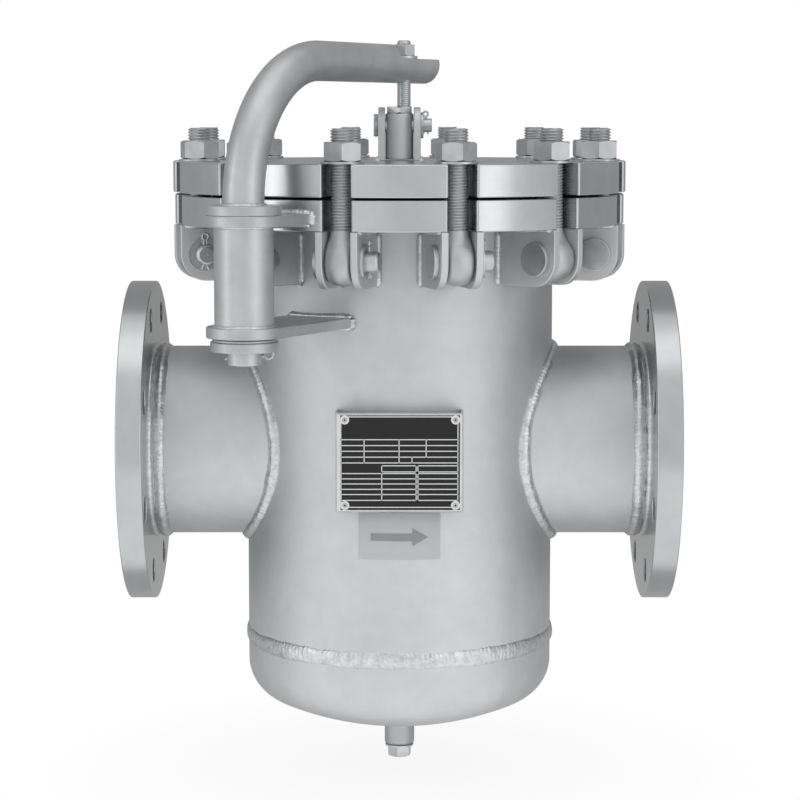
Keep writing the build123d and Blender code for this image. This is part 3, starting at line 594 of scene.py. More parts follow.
# %% Plates in sectors
def sector_plate(inner_r, rim_r, edge, count, bottom, top, rim_steps=16):
    """Closed plate in sectors: faces at both heights, walls along rim, bore and notches."""
    parts = []
    pitch = TAU / count
    open_rim = np.linalg.norm(edge[-1]) > rim_r - 1e-6
    start_angle = np.arctan2(edge[-1][1], edge[-1][0]) if open_rim else 0.0
    for index in range(count):
        first = turned_2d(edge, pitch * (index + 0.5))
        last = turned_2d(mirrored(edge), pitch * (index + 1.5))
        from_angle = pitch * (index + 0.5) + start_angle
        to_angle = pitch * (index + 1.5) - start_angle
        rim = arc(rim_r, from_angle, to_angle, rim_steps)
        if open_rim:
            rim = rim[1:-1]
        bore = arc(inner_r, pitch * (index + 1.5), pitch * (index + 0.5), rim_steps if inner_r else 1)
        loop = np.concatenate([first, rim, last, bore])
        count_points = len(loop)
        here = np.arange(count_points)
        wall = np.ones(count_points, bool)
        wall[len(first) + len(rim) + len(last) - 1] = False
        wall[-1] = False
        if not open_rim:
            wall[len(first) - 1] = False
            wall[len(first) + len(rim) - 1] = False
        low_points = np.column_stack([loop, np.full(count_points, bottom)])
        high_points = np.column_stack([loop, np.full(count_points, top)])
        points = np.concatenate([low_points, high_points])
        ahead = (here + 1) % count_points
        walls = np.stack([here, ahead, ahead + count_points, here + count_points], -1)[wall]
        faces = [here.tolist(), (here + count_points)[::-1].tolist(), *walls.tolist()]
        parts.append((points, faces))
    return parts


def moved(parts, to):
    """A list of (points, faces) parts, each shifted."""
    return [(np.asarray(points) + np.asarray(to), faces) for points, faces in parts]


print("one plain ring has", len(sector_plate(1, 2, hole_edge(1.5, 0.1), 4, 0, 1)), "sectors")

# %% [markdown]
# The slotted body flange and the blind cover have the same slots, cut with the same tool, so
# one outline serves both. The cover has no bore: its sectors meet in its centre.

# %% Body flange and cover
RIM_BEVEL = 0.9 * MM
body_flange = sector_plate(SHELL_R - SHELL_WALL, FLANGE_R, slot_edge(FLANGE_R), BOLT_COUNT,
                           FLANGE_LOW, FLANGE_TOP)
cover_plate = sector_plate(0, COVER_R, slot_edge(COVER_R), BOLT_COUNT, COVER_LOW, COVER_TOP)
piece("body_flange_skin", moved(body_flange, AXIS), TURNED, "vessel",
      ["body_flange"], bevel=RIM_BEVEL, sharp=30)
piece("cover_skin", moved(cover_plate, AXIS), TURNED, "cover_and_davit",
      ["cover"], bevel=RIM_BEVEL, sharp=30)

# %% [markdown]
# The pipe flanges are standard plate flanges with eight round holes. They are the same
# sectors once more, with a hole's edge in place of a slot's, laid over onto the pipe's axis.

# %% Pipe flanges
PIPE_FLANGE_R = radius("inlet_flange")
PIPE_HOLE_CIRCLE_R = 120 * MM
PIPE_HOLE_R = 11 * MM
PIPE_HOLES = 8


def pipe_flange_skin(node):
    """Sector plate about the X axis."""
    start = low(node)[0]
    end = high(node)[0]
    edge = hole_edge(PIPE_HOLE_CIRCLE_R, PIPE_HOLE_R)
    flat = sector_plate(BORE_R, PIPE_FLANGE_R, edge, PIPE_HOLES, start, end, 20)
    return [(np.stack([p[:, 2], p[:, 0], p[:, 1] + PIPE_Z], -1), f) for p, f in flat]


for node in ("inlet_flange", "outlet_flange"):
    piece(node + "_skin", pipe_flange_skin(node), TURNED, "vessel", [node],
          bevel=0.8 * MM, sharp=30)

# %% [markdown]
# ## Swing bolts
# The shank is a grid of angle and height whose radius falls and rises with the thread: the
# depth is a triangle wave of height over pitch less the turn, so the grooves are a true
# helix. The eye is a ball with flat sides, turned about the pin.

# %% Threaded rod
THREAD_PITCH = 2.5 * MM
THREAD_DEPTH = 1.35 * MM


def threaded(r, bottom, top, pitch, depth, around=32, per_turn=6, tip=1.2 * MM):
    """Rod with a helical groove: r(t, z) = r - depth * |wave(z / pitch - t / turn)|."""
    rows = int((top - bottom) / pitch * per_turn)
    t = np.arange(around) * TAU / around
    z = np.linspace(bottom, top, rows)
    phase = (z[:, None] / pitch - t[None] / TAU) % 1.0
    wave = np.clip(1.5 - np.abs(2 * phase - 1) * 2.2, 0, 1)
    taper = np.clip((z - top) / tip + 1, 0, 1)[:, None] * tip
    rr = r - depth * wave - taper * 0.9
    points = np.stack([rr * np.cos(t), rr * np.sin(t), np.repeat(z[:, None], around, 1)], -1)
    points = points.reshape(-1, 3)
    caps = [list(range(around))[::-1], list(range((rows - 1) * around, rows * around))]
    return points, grid_faces(rows, around) + caps


print("one turn of thread has", 32 * 6, "faces")

# %% [markdown]
# The shank doesn't stop at the eye: it flares out into it, as forged metal flows. The flare is
# a second turned profile, cut off at the eye's flat sides by clipping its points.

# %% Eye bolt
NECK_FILLET = 18 * MM
NECK_TOP = 25.7 * MM
NECK_HEIGHT = 12.2 * MM
EYE_R = 20 * MM
EYE_HALF = 11 * MM
EYE_BORE = 9.1 * MM
EYE_CHAMFER = 1 * MM


def eye_bolt():
    """Eye, neck and threaded shank of one bolt at radius +X, about the vessel axis.

    The neck's radius at height z is bolt + fillet - sqrt(fillet^2 - (top - z)^2).
    """
    flat_r = np.sqrt(EYE_R**2 - EYE_HALF**2) - EYE_CHAMFER
    ball = arc(EYE_R, -np.arcsin(EYE_HALF / EYE_R), np.arcsin(EYE_HALF / EYE_R), 11)
    section = np.concatenate([[(EYE_BORE, -EYE_HALF), (flat_r, -EYE_HALF)], ball[1:-1],
                              [(flat_r, EYE_HALF), (EYE_BORE, EYE_HALF)]])
    centre = np.array([BOLT_CIRCLE_R, 0, PIN_Z])
    eye = turned(section, 48, centre, "Y")
    neck_z = np.linspace(NECK_TOP - NECK_HEIGHT, NECK_TOP, 9)
    neck_r = BOLT_R + NECK_FILLET - np.sqrt(NECK_FILLET**2 - (NECK_TOP - neck_z) ** 2)
    flare = np.stack([neck_r, neck_z], -1)
    profile = np.concatenate([[(0, neck_z[0])], flare, [(0, NECK_TOP)]])
    neck = turned(profile, 48, centre, closed=False)
    neck[0][:, 1] = np.clip(neck[0][:, 1], -EYE_HALF, EYE_HALF)
    shank_top = high("swing_bolt_01")[2]
    shank = threaded(BOLT_R, PIN_Z + NECK_TOP, shank_top, THREAD_PITCH, THREAD_DEPTH)
    return [eye, neck, (shank[0] + [BOLT_CIRCLE_R, 0, 0], shank[1])]


print("an eye bolt has", len(eye_bolt()), "parts")

# %% [markdown]
# A nut is a hexagon whose corners are turned off at both ends. As a radius over the angle,
# flat / cos(angle), it stays one closed grid, and the cone only lowers its outer rows.

# %% Hexagon nut
CHAMFER_SHARE = 0.97
CHAMFER_SLOPE = np.tan(np.radians(30))


def hexagon_skin(across_flats, bore, bottom, top, turn=0.0, steps=8):
    """Nut: r(t) of a hexagon, cut at both ends by a cone.

    The end drops by (r - share * flat) * slope where the hexagon stands outside the cone.
    """
    around = 6 * steps
    t = np.arange(around) * TAU / around
    flat = across_flats / 2
    hexagon_r = flat / np.cos((t % (TAU / 6)) - TAU / 12)
    drop = np.clip(hexagon_r - CHAMFER_SHARE * flat, 0, None) * CHAMFER_SLOPE
    ring_r = np.full(around, CHAMFER_SHARE * flat)
    bore_r = np.full(around, bore)
    flat_low, flat_top = bottom + 0 * t, top + 0 * t
    radii = np.stack([bore_r, ring_r, hexagon_r, hexagon_r, ring_r, bore_r])
    heights = np.stack([flat_low, flat_low, bottom + drop, top - drop, flat_top, flat_top])
    points = np.stack([radii * np.cos(t + turn), radii * np.sin(t + turn), heights], -1)
    return points.reshape(-1, 3), grid_faces(6, around, wrap_rows=True)


print("a nut has", len(hexagon_skin(2, 0.6, 0, 1)[1]), "faces")

# %% [markdown]
# Twelve bolts stand round the cover. Each gets its own object, because each swings on its own
# body. The nuts are turned by different angles, since nobody lines them up with a spanner.

# %% Twelve bolts, nuts and washers
NUT_LOW = COVER_TOP + 2 * MM
NUT_TOP = high("nut_and_washer_01")[2]
NUT_AF = 30 * MM
NUT_TURNS = np.radians([22, 19, 3, 5, 33, 47, 32.8, 12, 15, 1.5, 11.5, 40.4])
bolt_parts = eye_bolt()
washer = turned(washer_profile(BOLT_R, 18 * MM, COVER_TOP, NUT_LOW, 0.5 * MM), 40,
                (BOLT_CIRCLE_R, 0, 0))
for index, turn in enumerate(BOLT_TURN):
    number = f"{index + 1:02d}"
    placed = [(spin_to(p + AXIS, turn), f) for p, f in bolt_parts]
    piece(f"swing_bolt_{number}_skin", placed, FORGED, f"swing_bolt_{number}",
          [f"swing_bolt_{number}"], sharp=50)
    nut = hexagon_skin(NUT_AF, BOLT_R - 0.4 * MM, NUT_LOW, NUT_TOP, NUT_TURNS[index])
    nut = (nut[0] + [BOLT_CIRCLE_R, 0, 0], nut[1])
    placed = [(spin_to(p + AXIS, turn), f) for p, f in (nut, washer)]
    piece(f"nut_and_washer_{number}_skin", placed, BRIGHT, f"nut_and_washer_{number}",
          [f"nut_and_washer_{number}"], sharp=28)

# %% [markdown]
# ## Lugs, pins and split pins
# Each bolt hangs between two flat lugs cut from plate. A headed pin passes through, and a
# split pin with its two ends bent apart keeps it in.

# %% Outlined plates
def plate_part(outline, thickness, to_space):
    """Closed plate from an outline in a plane; to_space maps (u, v, w) to the row frame."""
    count = len(outline)
    u, v = np.tile(np.asarray(outline).T, 2)
    w = np.repeat([-thickness / 2, thickness / 2], count)
    points = np.stack(to_space(u, v, w), -1)
    here = np.arange(count)
    return points, [here.tolist(), (here + count)[::-1].tolist(), *grid_faces(2, count)]


def corner_arc(centre, r, start, end, steps=10):
    """Arc of an outline's rounded corner, between two angles in degrees."""
    a = np.radians(np.linspace(start, end, steps))
    return np.stack([centre[0] + r * np.cos(a), centre[1] + r * np.sin(a)], -1)


print("a rounded corner has", len(corner_arc((0, 0), 1, 0, 90)), "points")

# %% [markdown]
# The lugs are one flat outline, cut 24 times: a straight root on the shell, a toe that is
# rounded so that nobody cuts a hand on it, and a flat top under the flange.

# %% Lugs
LUG_LOW = low("bolt_lugs")[2]
LUG_REACH = 200 * MM
LUG_CORNER = 22 * MM
LUG_GAP = 24 * MM
LUG_T = 6 * MM
lug_outline = np.concatenate([
    [(SHELL_R - 1.5 * MM, FLANGE_LOW), (SHELL_R - 1.5 * MM, LUG_LOW)],
    corner_arc((LUG_REACH - LUG_CORNER, LUG_LOW + LUG_CORNER), LUG_CORNER, -90, 0),
    [(LUG_REACH, FLANGE_LOW)],
])
lug_parts = []
for turn in BOLT_TURN:
    for side in (-1, 1):
        offset = side * (LUG_GAP + LUG_T) / 2
        points, faces = plate_part(lug_outline, LUG_T, lambda u, v, w: (u, w + offset, v))
        lug_parts.append((spin_to(points + AXIS, turn), faces))
piece("bolt_lugs_skin", lug_parts, BLASTED, "vessel", ["bolt_lugs"],
      bevel=0.7 * MM, sharp=30)

# %% [markdown]
# Split pins and weld beads are both tubes along a path. The rings are built from the path's
# own plane, since a fixed helper direction would pinch them wherever the path runs along it.

# %% Tubes along a path
def tube_along(path, r, around=10, closed=False):
    """Round wire: a ring of points carried along a path, path + r (cos t side + sin t up).

    The rings are measured from the direction in which the path is thinnest, so they never twist.
    """
    path = np.asarray(path, float)
    ahead = np.roll(path, -1, 0) - np.roll(path, 1, 0)
    if not closed:
        ahead[0] = path[1] - path[0]
        ahead[-1] = path[-1] - path[-2]
    ahead /= np.linalg.norm(ahead, axis=1)[:, None]
    thinnest = np.linalg.svd(path - path.mean(0), full_matrices=True)[2][2]
    side = np.cross(ahead, thinnest)
    side /= np.linalg.norm(side, axis=1)[:, None]
    up = np.cross(ahead, side)
    t = np.arange(around) * TAU / around
    rr = np.broadcast_to(np.asarray(r, float).reshape(-1, 1, 1), (len(path), 1, 1))
    rings = path[:, None] + rr * (
        np.cos(t)[None, :, None] * side[:, None] + np.sin(t)[None, :, None] * up[:, None]
    )
    faces = grid_faces(len(path), around, wrap_rows=closed)
    if not closed:
        last = (len(path) - 1) * around
        faces += [list(range(around))[::-1], list(range(last, last + around))]
    return rings.reshape(-1, 3), faces


def split_pin_parts(wire, half, spread):
    """Split pin along Z: an eye above, two legs through the hole, their tips bent apart."""
    eye_r = 1.9 * wire
    a = np.linspace(-0.4 * np.pi, 1.4 * np.pi, 17)
    eye = np.stack([eye_r * np.cos(a), 0 * a, half + eye_r + eye_r * np.sin(a)], -1)
    parts = [tube_along(eye, wire * 0.8, 8)]
    for side in (-1, 1):
        z = np.array([half, 0, -half + 3 * wire, -half + 1.5 * wire, -half])
        x = np.array([0.84 * wire, 0.84 * wire, wire, 0.5 * (wire + spread), spread]) * side
        parts.append(tube_along(np.stack([x, 0 * x, z], -1), wire * 0.8, 8))
    return parts


print("a split pin has", len(split_pin_parts(1, 8, 2)), "wires")

# %% [markdown]
# A pin is turned with its head in one go and keeps a washer and a split pin at its far end.
# All twelve are alike, so one of each is made on the +X side and carried round.

# %% Headed pins and their keepers
LUG_OUTER = LUG_GAP / 2 + LUG_T
PIN_R = 9 * MM
PIN_HEAD_R = 14.5 * MM
PIN_END = LUG_OUTER + 14 * MM
head_end = -LUG_OUTER - 4.5 * MM
pin_section = rounded([(0, head_end), (PIN_HEAD_R, head_end), (PIN_HEAD_R, -LUG_OUTER),
                       (PIN_R, -LUG_OUTER), (PIN_R, PIN_END - 2 * MM),
                       (PIN_R - 2 * MM, PIN_END), (0, PIN_END)], 0.8 * MM)
pin_at = np.array([BOLT_CIRCLE_R, 0, PIN_Z])
pin_part = turned(pin_section, 40, pin_at, "Y")
pin_washer = turned(washer_profile(PIN_R, 15 * MM, LUG_OUTER, LUG_OUTER + 3 * MM, 0.5 * MM), 36,
                    pin_at, "Y")
pins, keepers = [], []
for turn in BOLT_TURN:
    pins.append((spin_to(pin_part[0] + AXIS, turn), pin_part[1]))
    keepers.append((spin_to(pin_washer[0] + AXIS, turn), pin_washer[1]))
    for points, faces in split_pin_parts(1.4 * MM, 13 * MM, 3.2 * MM):
        hung = points + pin_at + [0, LUG_OUTER + 5.3 * MM, 0]
        keepers.append((spin_to(hung + AXIS, turn), faces))
piece("lug_pins_skin", pins, BRIGHT, "vessel", ["lug_pins"], sharp=40)
piece("lug_pin_keepers_skin", keepers, BRIGHT, "vessel",
      ["lug_pin_washers_and_split_pins"], sharp=40)

# %% [markdown]
# ## Davit
# A tube between two plates takes the post. The arm is one round bar: a ring of points is
# carried up, round the bend and along, and its top is pressed flat near the end, where the
# lifting nut sits.

# %% Davit bearing
DAVIT = middle("davit_sleeve")
DAVIT_AT = np.array([DAVIT[0], DAVIT[1], 0.0])
davit_out = (DAVIT_AT - AXIS) / np.linalg.norm(DAVIT_AT - AXIS)
DAVIT_TURN = np.arctan2(davit_out[1], davit_out[0])
DAVIT_CIRCLE_R = np.linalg.norm(DAVIT_AT - AXIS)
SLEEVE_R = radius("davit_sleeve")
SLEEVE_LOW = low("davit_sleeve")[2]
SLEEVE_TOP = high("davit_sleeve")[2]
PLATE_T = 9 * MM
PLATE_HALF = 31 * MM


def davit_plate_part(bottom, root_r):
    """Plate with a round end at the post and a root that follows a cylinder."""
    root_a = np.arcsin(PLATE_HALF / root_r)
    root = arc(root_r - 0.3 * MM, root_a, -root_a, 15)
    tip_a = np.linspace(-np.pi / 2, np.pi / 2, 25)
    tip = np.stack([DAVIT_CIRCLE_R + PLATE_HALF * np.cos(tip_a), PLATE_HALF * np.sin(tip_a)], -1)
    outline = np.concatenate([root, tip])
    points, faces = plate_part(outline, PLATE_T, lambda u, v, w: (u, v, w + bottom + PLATE_T / 2))
    return spin_to(points + AXIS, DAVIT_TURN), faces


piece("davit_plates_skin",
      [davit_plate_part(SLEEVE_TOP, FLANGE_R), davit_plate_part(SLEEVE_LOW - PLATE_T, SHELL_R)],
      FACED, "vessel", ["davit_plates"], bevel=0.8 * MM, sharp=30)
sleeve_section = washer_profile(SLEEVE_R - 3.65 * MM, SLEEVE_R, SLEEVE_LOW, SLEEVE_TOP, 0.3 * MM)
piece("davit_sleeve_skin", [turned(sleeve_section, 72, DAVIT_AT)], DRAWN, "vessel",
      ["davit_sleeve"], sharp=40)

# %% [markdown]
# The arm is drawn in its own plane first: up from the post, a quarter bend, then along. The
# pressed flat for the nut is a ceiling on the height, with a short slope where it runs out.

# %% Davit arm
ARM_AROUND = 56
ARM_R = 16.85 * MM
ARM_BEND_R = 115 * MM
ARM_Z = high("davit_arm")[2] - ARM_R
ARM_FOOT = high("davit_collar")[2]
ARM_FLAT_Z = ARM_Z + 4.5 * MM
ARM_REACH = DAVIT_CIRCLE_R + 43 * MM


def arm_path():
    """Centre line in the plane of the arm: up, a quarter bend, and along."""
    level = ARM_Z - ARM_BEND_R
    up = np.stack([np.zeros(8), np.linspace(ARM_FOOT, level, 8)], -1)
    a = np.linspace(np.pi, np.pi / 2, 40)[1:]
    bend = np.stack([ARM_BEND_R + ARM_BEND_R * np.cos(a), level + ARM_BEND_R * np.sin(a)], -1)
    notch = DAVIT_CIRCLE_R + np.array([-30, -8]) * MM
    along_x = np.concatenate([np.linspace(ARM_BEND_R, notch[0], 30)[1:],
                              np.linspace(*notch, 34)[1:], np.linspace(notch[1], ARM_REACH, 12)[1:]])
    along = np.stack([along_x, np.full(len(along_x), ARM_Z)], -1)
    return np.concatenate([up, bend, along])


def arm_skin():
    """Bar round its path: path + R (cos t out, sin t across).

    Beyond the bend the height is the lesser of that and the flat with its sloping run-out.
    """
    path = arm_path()
    ahead = np.gradient(path, axis=0)
    ahead /= np.linalg.norm(ahead, axis=1)[:, None]
    out = np.stack([-ahead[:, 1], ahead[:, 0]], -1)
    t = np.arange(ARM_AROUND) * TAU / ARM_AROUND
    x = path[:, 0][:, None] + out[:, 0][:, None] * ARM_R * np.cos(t)
    z = path[:, 1][:, None] + out[:, 1][:, None] * ARM_R * np.cos(t)
    y = np.repeat((ARM_R * np.sin(t))[None], len(path), 0)
    cut_at = DAVIT_CIRCLE_R - 9 * MM - 0.95 * np.clip(-y, 0, None)
    ceiling = ARM_FLAT_Z + np.clip((cut_at - x) / (4 * MM), 0, 1) * 14 * MM
    z = np.where(x > ARM_BEND_R, np.minimum(z, ceiling), z)
    points = np.stack([x, y, z], -1).reshape(-1, 3)
    caps = [list(range(ARM_AROUND))[::-1], list(range(len(points) - ARM_AROUND, len(points)))]
    points = spin_to(points, DAVIT_TURN + np.pi, (0, 0, 0)) + DAVIT_AT
    return points, grid_faces(len(path), ARM_AROUND) + caps


POST_R = 14 * MM
POST_LOW = low("davit_arm")[2]
post_section = rounded([(0, POST_LOW), (POST_R, POST_LOW), (POST_R, ARM_FOOT), (0, ARM_FOOT)],
                       1.5 * MM)
piece("davit_arm_skin", [arm_skin(), turned(post_section, 48, DAVIT_AT)], DRAWN,
      "cover_and_davit", ["davit_arm"], sharp=35)

# %% [markdown]
# A collar carries the arm on the upper plate. Two washers and a split pin under the lower
# plate keep the post from being pulled out when somebody lifts the cover.

# %% Collar and post washers
collar_section = washer_profile(POST_R, radius("davit_collar"), low("davit_collar")[2],
                                ARM_FOOT, 1.0 * MM)
piece("davit_collar_skin", [turned(collar_section, 72, DAVIT_AT)], FACED, "cover_and_davit",
      ["davit_collar"], sharp=40)
POST_WASHER_TOP = high("post_washers_and_split_pin")[2]
THIN_LOW = POST_WASHER_TOP - 2 * MM
THICK_LOW = POST_WASHER_TOP - 10 * MM
thick = washer_profile(POST_R, 27.7 * MM, THICK_LOW, THIN_LOW, 1 * MM)
thin = washer_profile(POST_R, 26 * MM, THIN_LOW, POST_WASHER_TOP, 0.5 * MM)
keeper = [(p[:, [2, 1, 0]] + DAVIT_AT + [0, 0, POST_WASHER_TOP - 12.6 * MM], f)
          for p, f in split_pin_parts(1.8 * MM, 16 * MM, 4 * MM)]
piece("post_washers_skin", [turned(thick, 72, DAVIT_AT), turned(thin, 72, DAVIT_AT)] + keeper,
      FACED, "cover_and_davit", ["post_washers_and_split_pin"], sharp=40)

# %% [markdown]
# ## Lifting rod and clevis
# The rod hangs from its nut on the arm and screws into a round barrel, which a pin joins to
# two walls on the cover.

# %% Clevis walls
CLEVIS_TOP = high("cover_clevis")[2]
CLEVIS_HALF = radius("cover_clevis", 1)
CLEVIS_OUTER = radius("cover_clevis", 0)
CLEVIS_WALL = 6 * MM
CLEVIS_CORNER = 14 * MM
clevis_outline = np.concatenate([
    [(-CLEVIS_HALF, COVER_TOP), (CLEVIS_HALF, COVER_TOP)],
    corner_arc((CLEVIS_HALF - CLEVIS_CORNER, CLEVIS_TOP - CLEVIS_CORNER), CLEVIS_CORNER, 0, 90),
    corner_arc((-CLEVIS_HALF + CLEVIS_CORNER, CLEVIS_TOP - CLEVIS_CORNER), CLEVIS_CORNER, 90, 180),
])
clevis_parts = []
for side in (-1, 1):
    offset = side * (CLEVIS_OUTER - CLEVIS_WALL / 2)
    points, faces = plate_part(clevis_outline, CLEVIS_WALL, lambda u, v, w: (w + offset, u, v))
    clevis_parts.append((points + AXIS, faces))
piece("cover_clevis_skin", clevis_parts, BLASTED, "cover_and_davit",
      ["cover_clevis"], bevel=0.8 * MM, sharp=30)

# %% [markdown]
# The clevis pin is a smaller copy of the lug pins, laid along X: head on one side, washer and
# split pin on the other.

# %% Clevis pin and its keeper
CLEVIS_PIN_R = 6 * MM
CLEVIS_PIN = middle("clevis_pin")
pin_low, pin_high = low("clevis_pin")[0], high("clevis_pin")[0]
head_in = AXIS[0] - CLEVIS_OUTER
section = rounded([(0, pin_low), (10 * MM, pin_low), (10 * MM, head_in), (CLEVIS_PIN_R, head_in),
                   (CLEVIS_PIN_R, pin_high), (0, pin_high)], 1 * MM)
pin_line = (0, CLEVIS_PIN[1], CLEVIS_PIN[2])
piece("clevis_pin_skin", [turned(section, 40, pin_line, "X")], BRIGHT, "cover_and_davit",
      ["clevis_pin"], sharp=40)
washer_in = AXIS[0] + CLEVIS_OUTER
section = washer_profile(CLEVIS_PIN_R, 11.5 * MM, washer_in, washer_in + 2.5 * MM, 0.4 * MM)
keeper = [(p + [washer_in + 4.5 * MM, CLEVIS_PIN[1], CLEVIS_PIN[2]], f)
          for p, f in split_pin_parts(1.1 * MM, 8 * MM, 2.4 * MM)]
piece("clevis_keeper_skin", [turned(section, 40, pin_line, "X")] + keeper, BRIGHT,
      "cover_and_davit", ["clevis_washer_and_split_pin"], sharp=40)

# %% [markdown]
# The barrel takes the rod's lower end and a locknut holds the setting. The nut above the arm
# lifts the cover when it is turned, so it is a piece of its own, on its own body.

# %% Barrel, rod and lifting nut
BARREL_R = radius("rod_barrel")
BARREL_LOW, BARREL_TOP = low("rod_barrel")[2], high("rod_barrel")[2]
section = rounded([(0, BARREL_LOW), (BARREL_R, BARREL_LOW), (BARREL_R, BARREL_TOP),
                   (0, BARREL_TOP)], 1.2 * MM)
piece("rod_barrel_skin", [turned(section, 56, AXIS)], BLASTED, "cover_and_davit",
      ["rod_barrel"], sharp=40)
ROD = middle("lifting_rod") * [1, 1, 0]
locknut = hexagon_skin(22 * MM, 5.5 * MM, BARREL_TOP, BARREL_TOP + 6 * MM, TAU / 12)
washer_top = low("lifting_nut")[2]
rod_washer = turned(washer_profile(5.5 * MM, 12 * MM, ARM_FLAT_Z, washer_top, 0.4 * MM), 40, ROD)
piece("rod_locknut_skin", [(locknut[0] + AXIS, locknut[1]), rod_washer],
      BRIGHT, "cover_and_davit", ["rod_locknut_and_washer"], sharp=28)
rod = threaded(6 * MM, low("lifting_rod")[2], high("lifting_rod")[2], 1.75 * MM, 0.25 * MM, 24)
piece("lifting_rod_skin", [(rod[0] + ROD, rod[1])], BRIGHT, "cover_and_davit",
      ["lifting_rod"], sharp=50)
lifting_nut = hexagon_skin(18 * MM, 5.6 * MM, low("lifting_nut")[2], high("lifting_nut")[2], 0.62)
piece("lifting_nut_skin", [(lifting_nut[0] + ROD, lifting_nut[1])], BRIGHT, "lifting_nut",
      ["lifting_nut"], sharp=28)

# %% [markdown]
# ## Drain
# A short socket with a broken lower edge, and a hexagon plug under it on its seal ring.

# %% Drain socket and plug
DRAIN_LOW = low("drain_socket")[2]
DRAIN_R = radius("drain_socket")
DRAIN_BORE = 10.5 * MM
SEAL_LOW = DRAIN_LOW - 1.5 * MM
section = rounded([(DRAIN_BORE, DRAIN_LOW), (DRAIN_R - 2 * MM, DRAIN_LOW),
                   (DRAIN_R, DRAIN_LOW + 2 * MM), (DRAIN_R, HEAD_BOTTOM + 2 * MM),
                   (DRAIN_BORE, HEAD_BOTTOM + 2 * MM)], 0.6 * MM)
piece("drain_socket_skin", [turned(section, 56, AXIS)], FACED, "vessel",
      ["drain_socket"], sharp=40)
PLUG_LOW = low("drain_plug_and_seal")[2]
seal = turned(washer_profile(9 * MM, 13 * MM, SEAL_LOW, DRAIN_LOW, 0.4 * MM), 40, AXIS)
plug = hexagon_skin(19 * MM, 0.2 * MM, PLUG_LOW, SEAL_LOW, 0.35)
shank = threaded(10.3 * MM, SEAL_LOW, high("drain_plug_and_seal")[2], 1.8 * MM, 0.6 * MM, 24)
piece("drain_plug_skin", [(plug[0] + AXIS, plug[1]), seal, (shank[0] + AXIS, shank[1])], ZINC,
      "drain_plug", ["drain_plug_and_seal"], sharp=28)

# %% [markdown]
# ## Nameplate and flow arrow
# The plate is a bright sheet with a dark printed field, light rules for an empty table, and
# four rivets. The field and the rules are thin boxes, because a printed layer would flicker.

# %% Plate sheet and printed field
BRACKET_LOW, BRACKET_HIGH = low("nameplate_bracket"), high("nameplate_bracket")


def box_part(lo, hi):
    """Closed box between two corners: low + pick * (high - low), pick 0 or 1 per axis."""
    lo, hi = np.asarray(lo), np.asarray(hi)
    pick = np.array([[x, y, z] for x in (0, 1) for y in (0, 1) for z in (0, 1)])
    points = lo + pick * (hi - lo)
    faces = [[0, 1, 3, 2], [4, 6, 7, 5], [0, 4, 5, 1], [2, 3, 7, 6], [0, 2, 6, 4], [1, 5, 7, 3]]
    return points, faces


plate_top = BRACKET_LOW[1]
plate_front = plate_top - 1 * MM
SHEET_LOW = np.array([BRACKET_LOW[0] + 1.2 * MM, plate_front, BRACKET_LOW[2] + 1.2 * MM])
SHEET_HIGH = np.array([BRACKET_HIGH[0] - 1.2 * MM, plate_top, BRACKET_HIGH[2] - 1.2 * MM])
FIELD_LOW = np.array([BRACKET_LOW[0] + 4.2 * MM, plate_front - 0.06 * MM, BRACKET_LOW[2] + 2 * MM])
FIELD_HIGH = np.array([BRACKET_HIGH[0] - 3.0 * MM, plate_front + 0.2 * MM, BRACKET_HIGH[2] - 2 * MM])
piece("nameplate_sheet", [box_part(SHEET_LOW, SHEET_HIGH)], ZINC, "vessel",
      ["nameplate_and_rivets"], bevel=0.3 * MM, sharp=30)
piece("nameplate_field", [box_part(FIELD_LOW, FIELD_HIGH)], PLATE_BLACK, "vessel",
      sharp=30)

# %% [markdown]
# The rules stand at the places they have on the real plate, as shares of the printed field.

# %% Rules of the empty table
RULE_HALF = 0.38 * MM


def rule(u0, u1, v0, v1):
    """One light rule on the plate; u and v run from 0 to 1 over the field."""
    width, height = (FIELD_HIGH - FIELD_LOW)[[0, 2]]
    left, front, bottom = FIELD_LOW
    lo = [left + u0 * width - RULE_HALF, front - 0.08 * MM, bottom + v0 * height - RULE_HALF]
    hi = [left + u1 * width + RULE_HALF, front + 0.02 * MM, bottom + v1 * height + RULE_HALF]
    return box_part(lo, hi)


def table(u0, u1, rows, columns):
    """Rules of one table: rows are heights, columns are places across."""
    rules = [rule(u0, u1, v, v) for v in rows]
    return rules + [rule(u, u, min(rows), max(rows)) for u in columns]


upper_rows = [0.499, 0.560, 0.622, 0.682, 0.744]
lower_rows = [0.103, 0.165, 0.220, 0.277, 0.331, 0.387]
LEFT, RIGHT, NEAR_MIDDLE, PAST_MIDDLE = 0.005, 0.983, 0.634, 0.649
rules = [rule(LEFT, RIGHT, v, v) for v in (0.029, 0.984)]
rules += [rule(u, u, 0.029, 0.984) for u in (LEFT, RIGHT)]
rules += table(LEFT, RIGHT, upper_rows, [0.199, 0.491])
rules += [rule(0.718, 0.718, upper_rows[1], upper_rows[-1]),
          rule(0.599, 0.599, upper_rows[0], upper_rows[1])]
rules += table(LEFT, NEAR_MIDDLE, lower_rows, [0.346, NEAR_MIDDLE])
rules += table(PAST_MIDDLE, RIGHT, lower_rows, [PAST_MIDDLE])
rules += table(0.346, NEAR_MIDDLE, [0.404, 0.469], [0.346, NEAR_MIDDLE])
rules += table(PAST_MIDDLE, RIGHT, [0.404, 0.469], [PAST_MIDDLE])
piece("nameplate_rules", rules, PLATE_LINE, "vessel", sharp=30)

# %% [markdown]
# A blind rivet shows two things from outside: a pale collar, and the broken end of its steel
# pin in the middle. Both are small turned profiles.

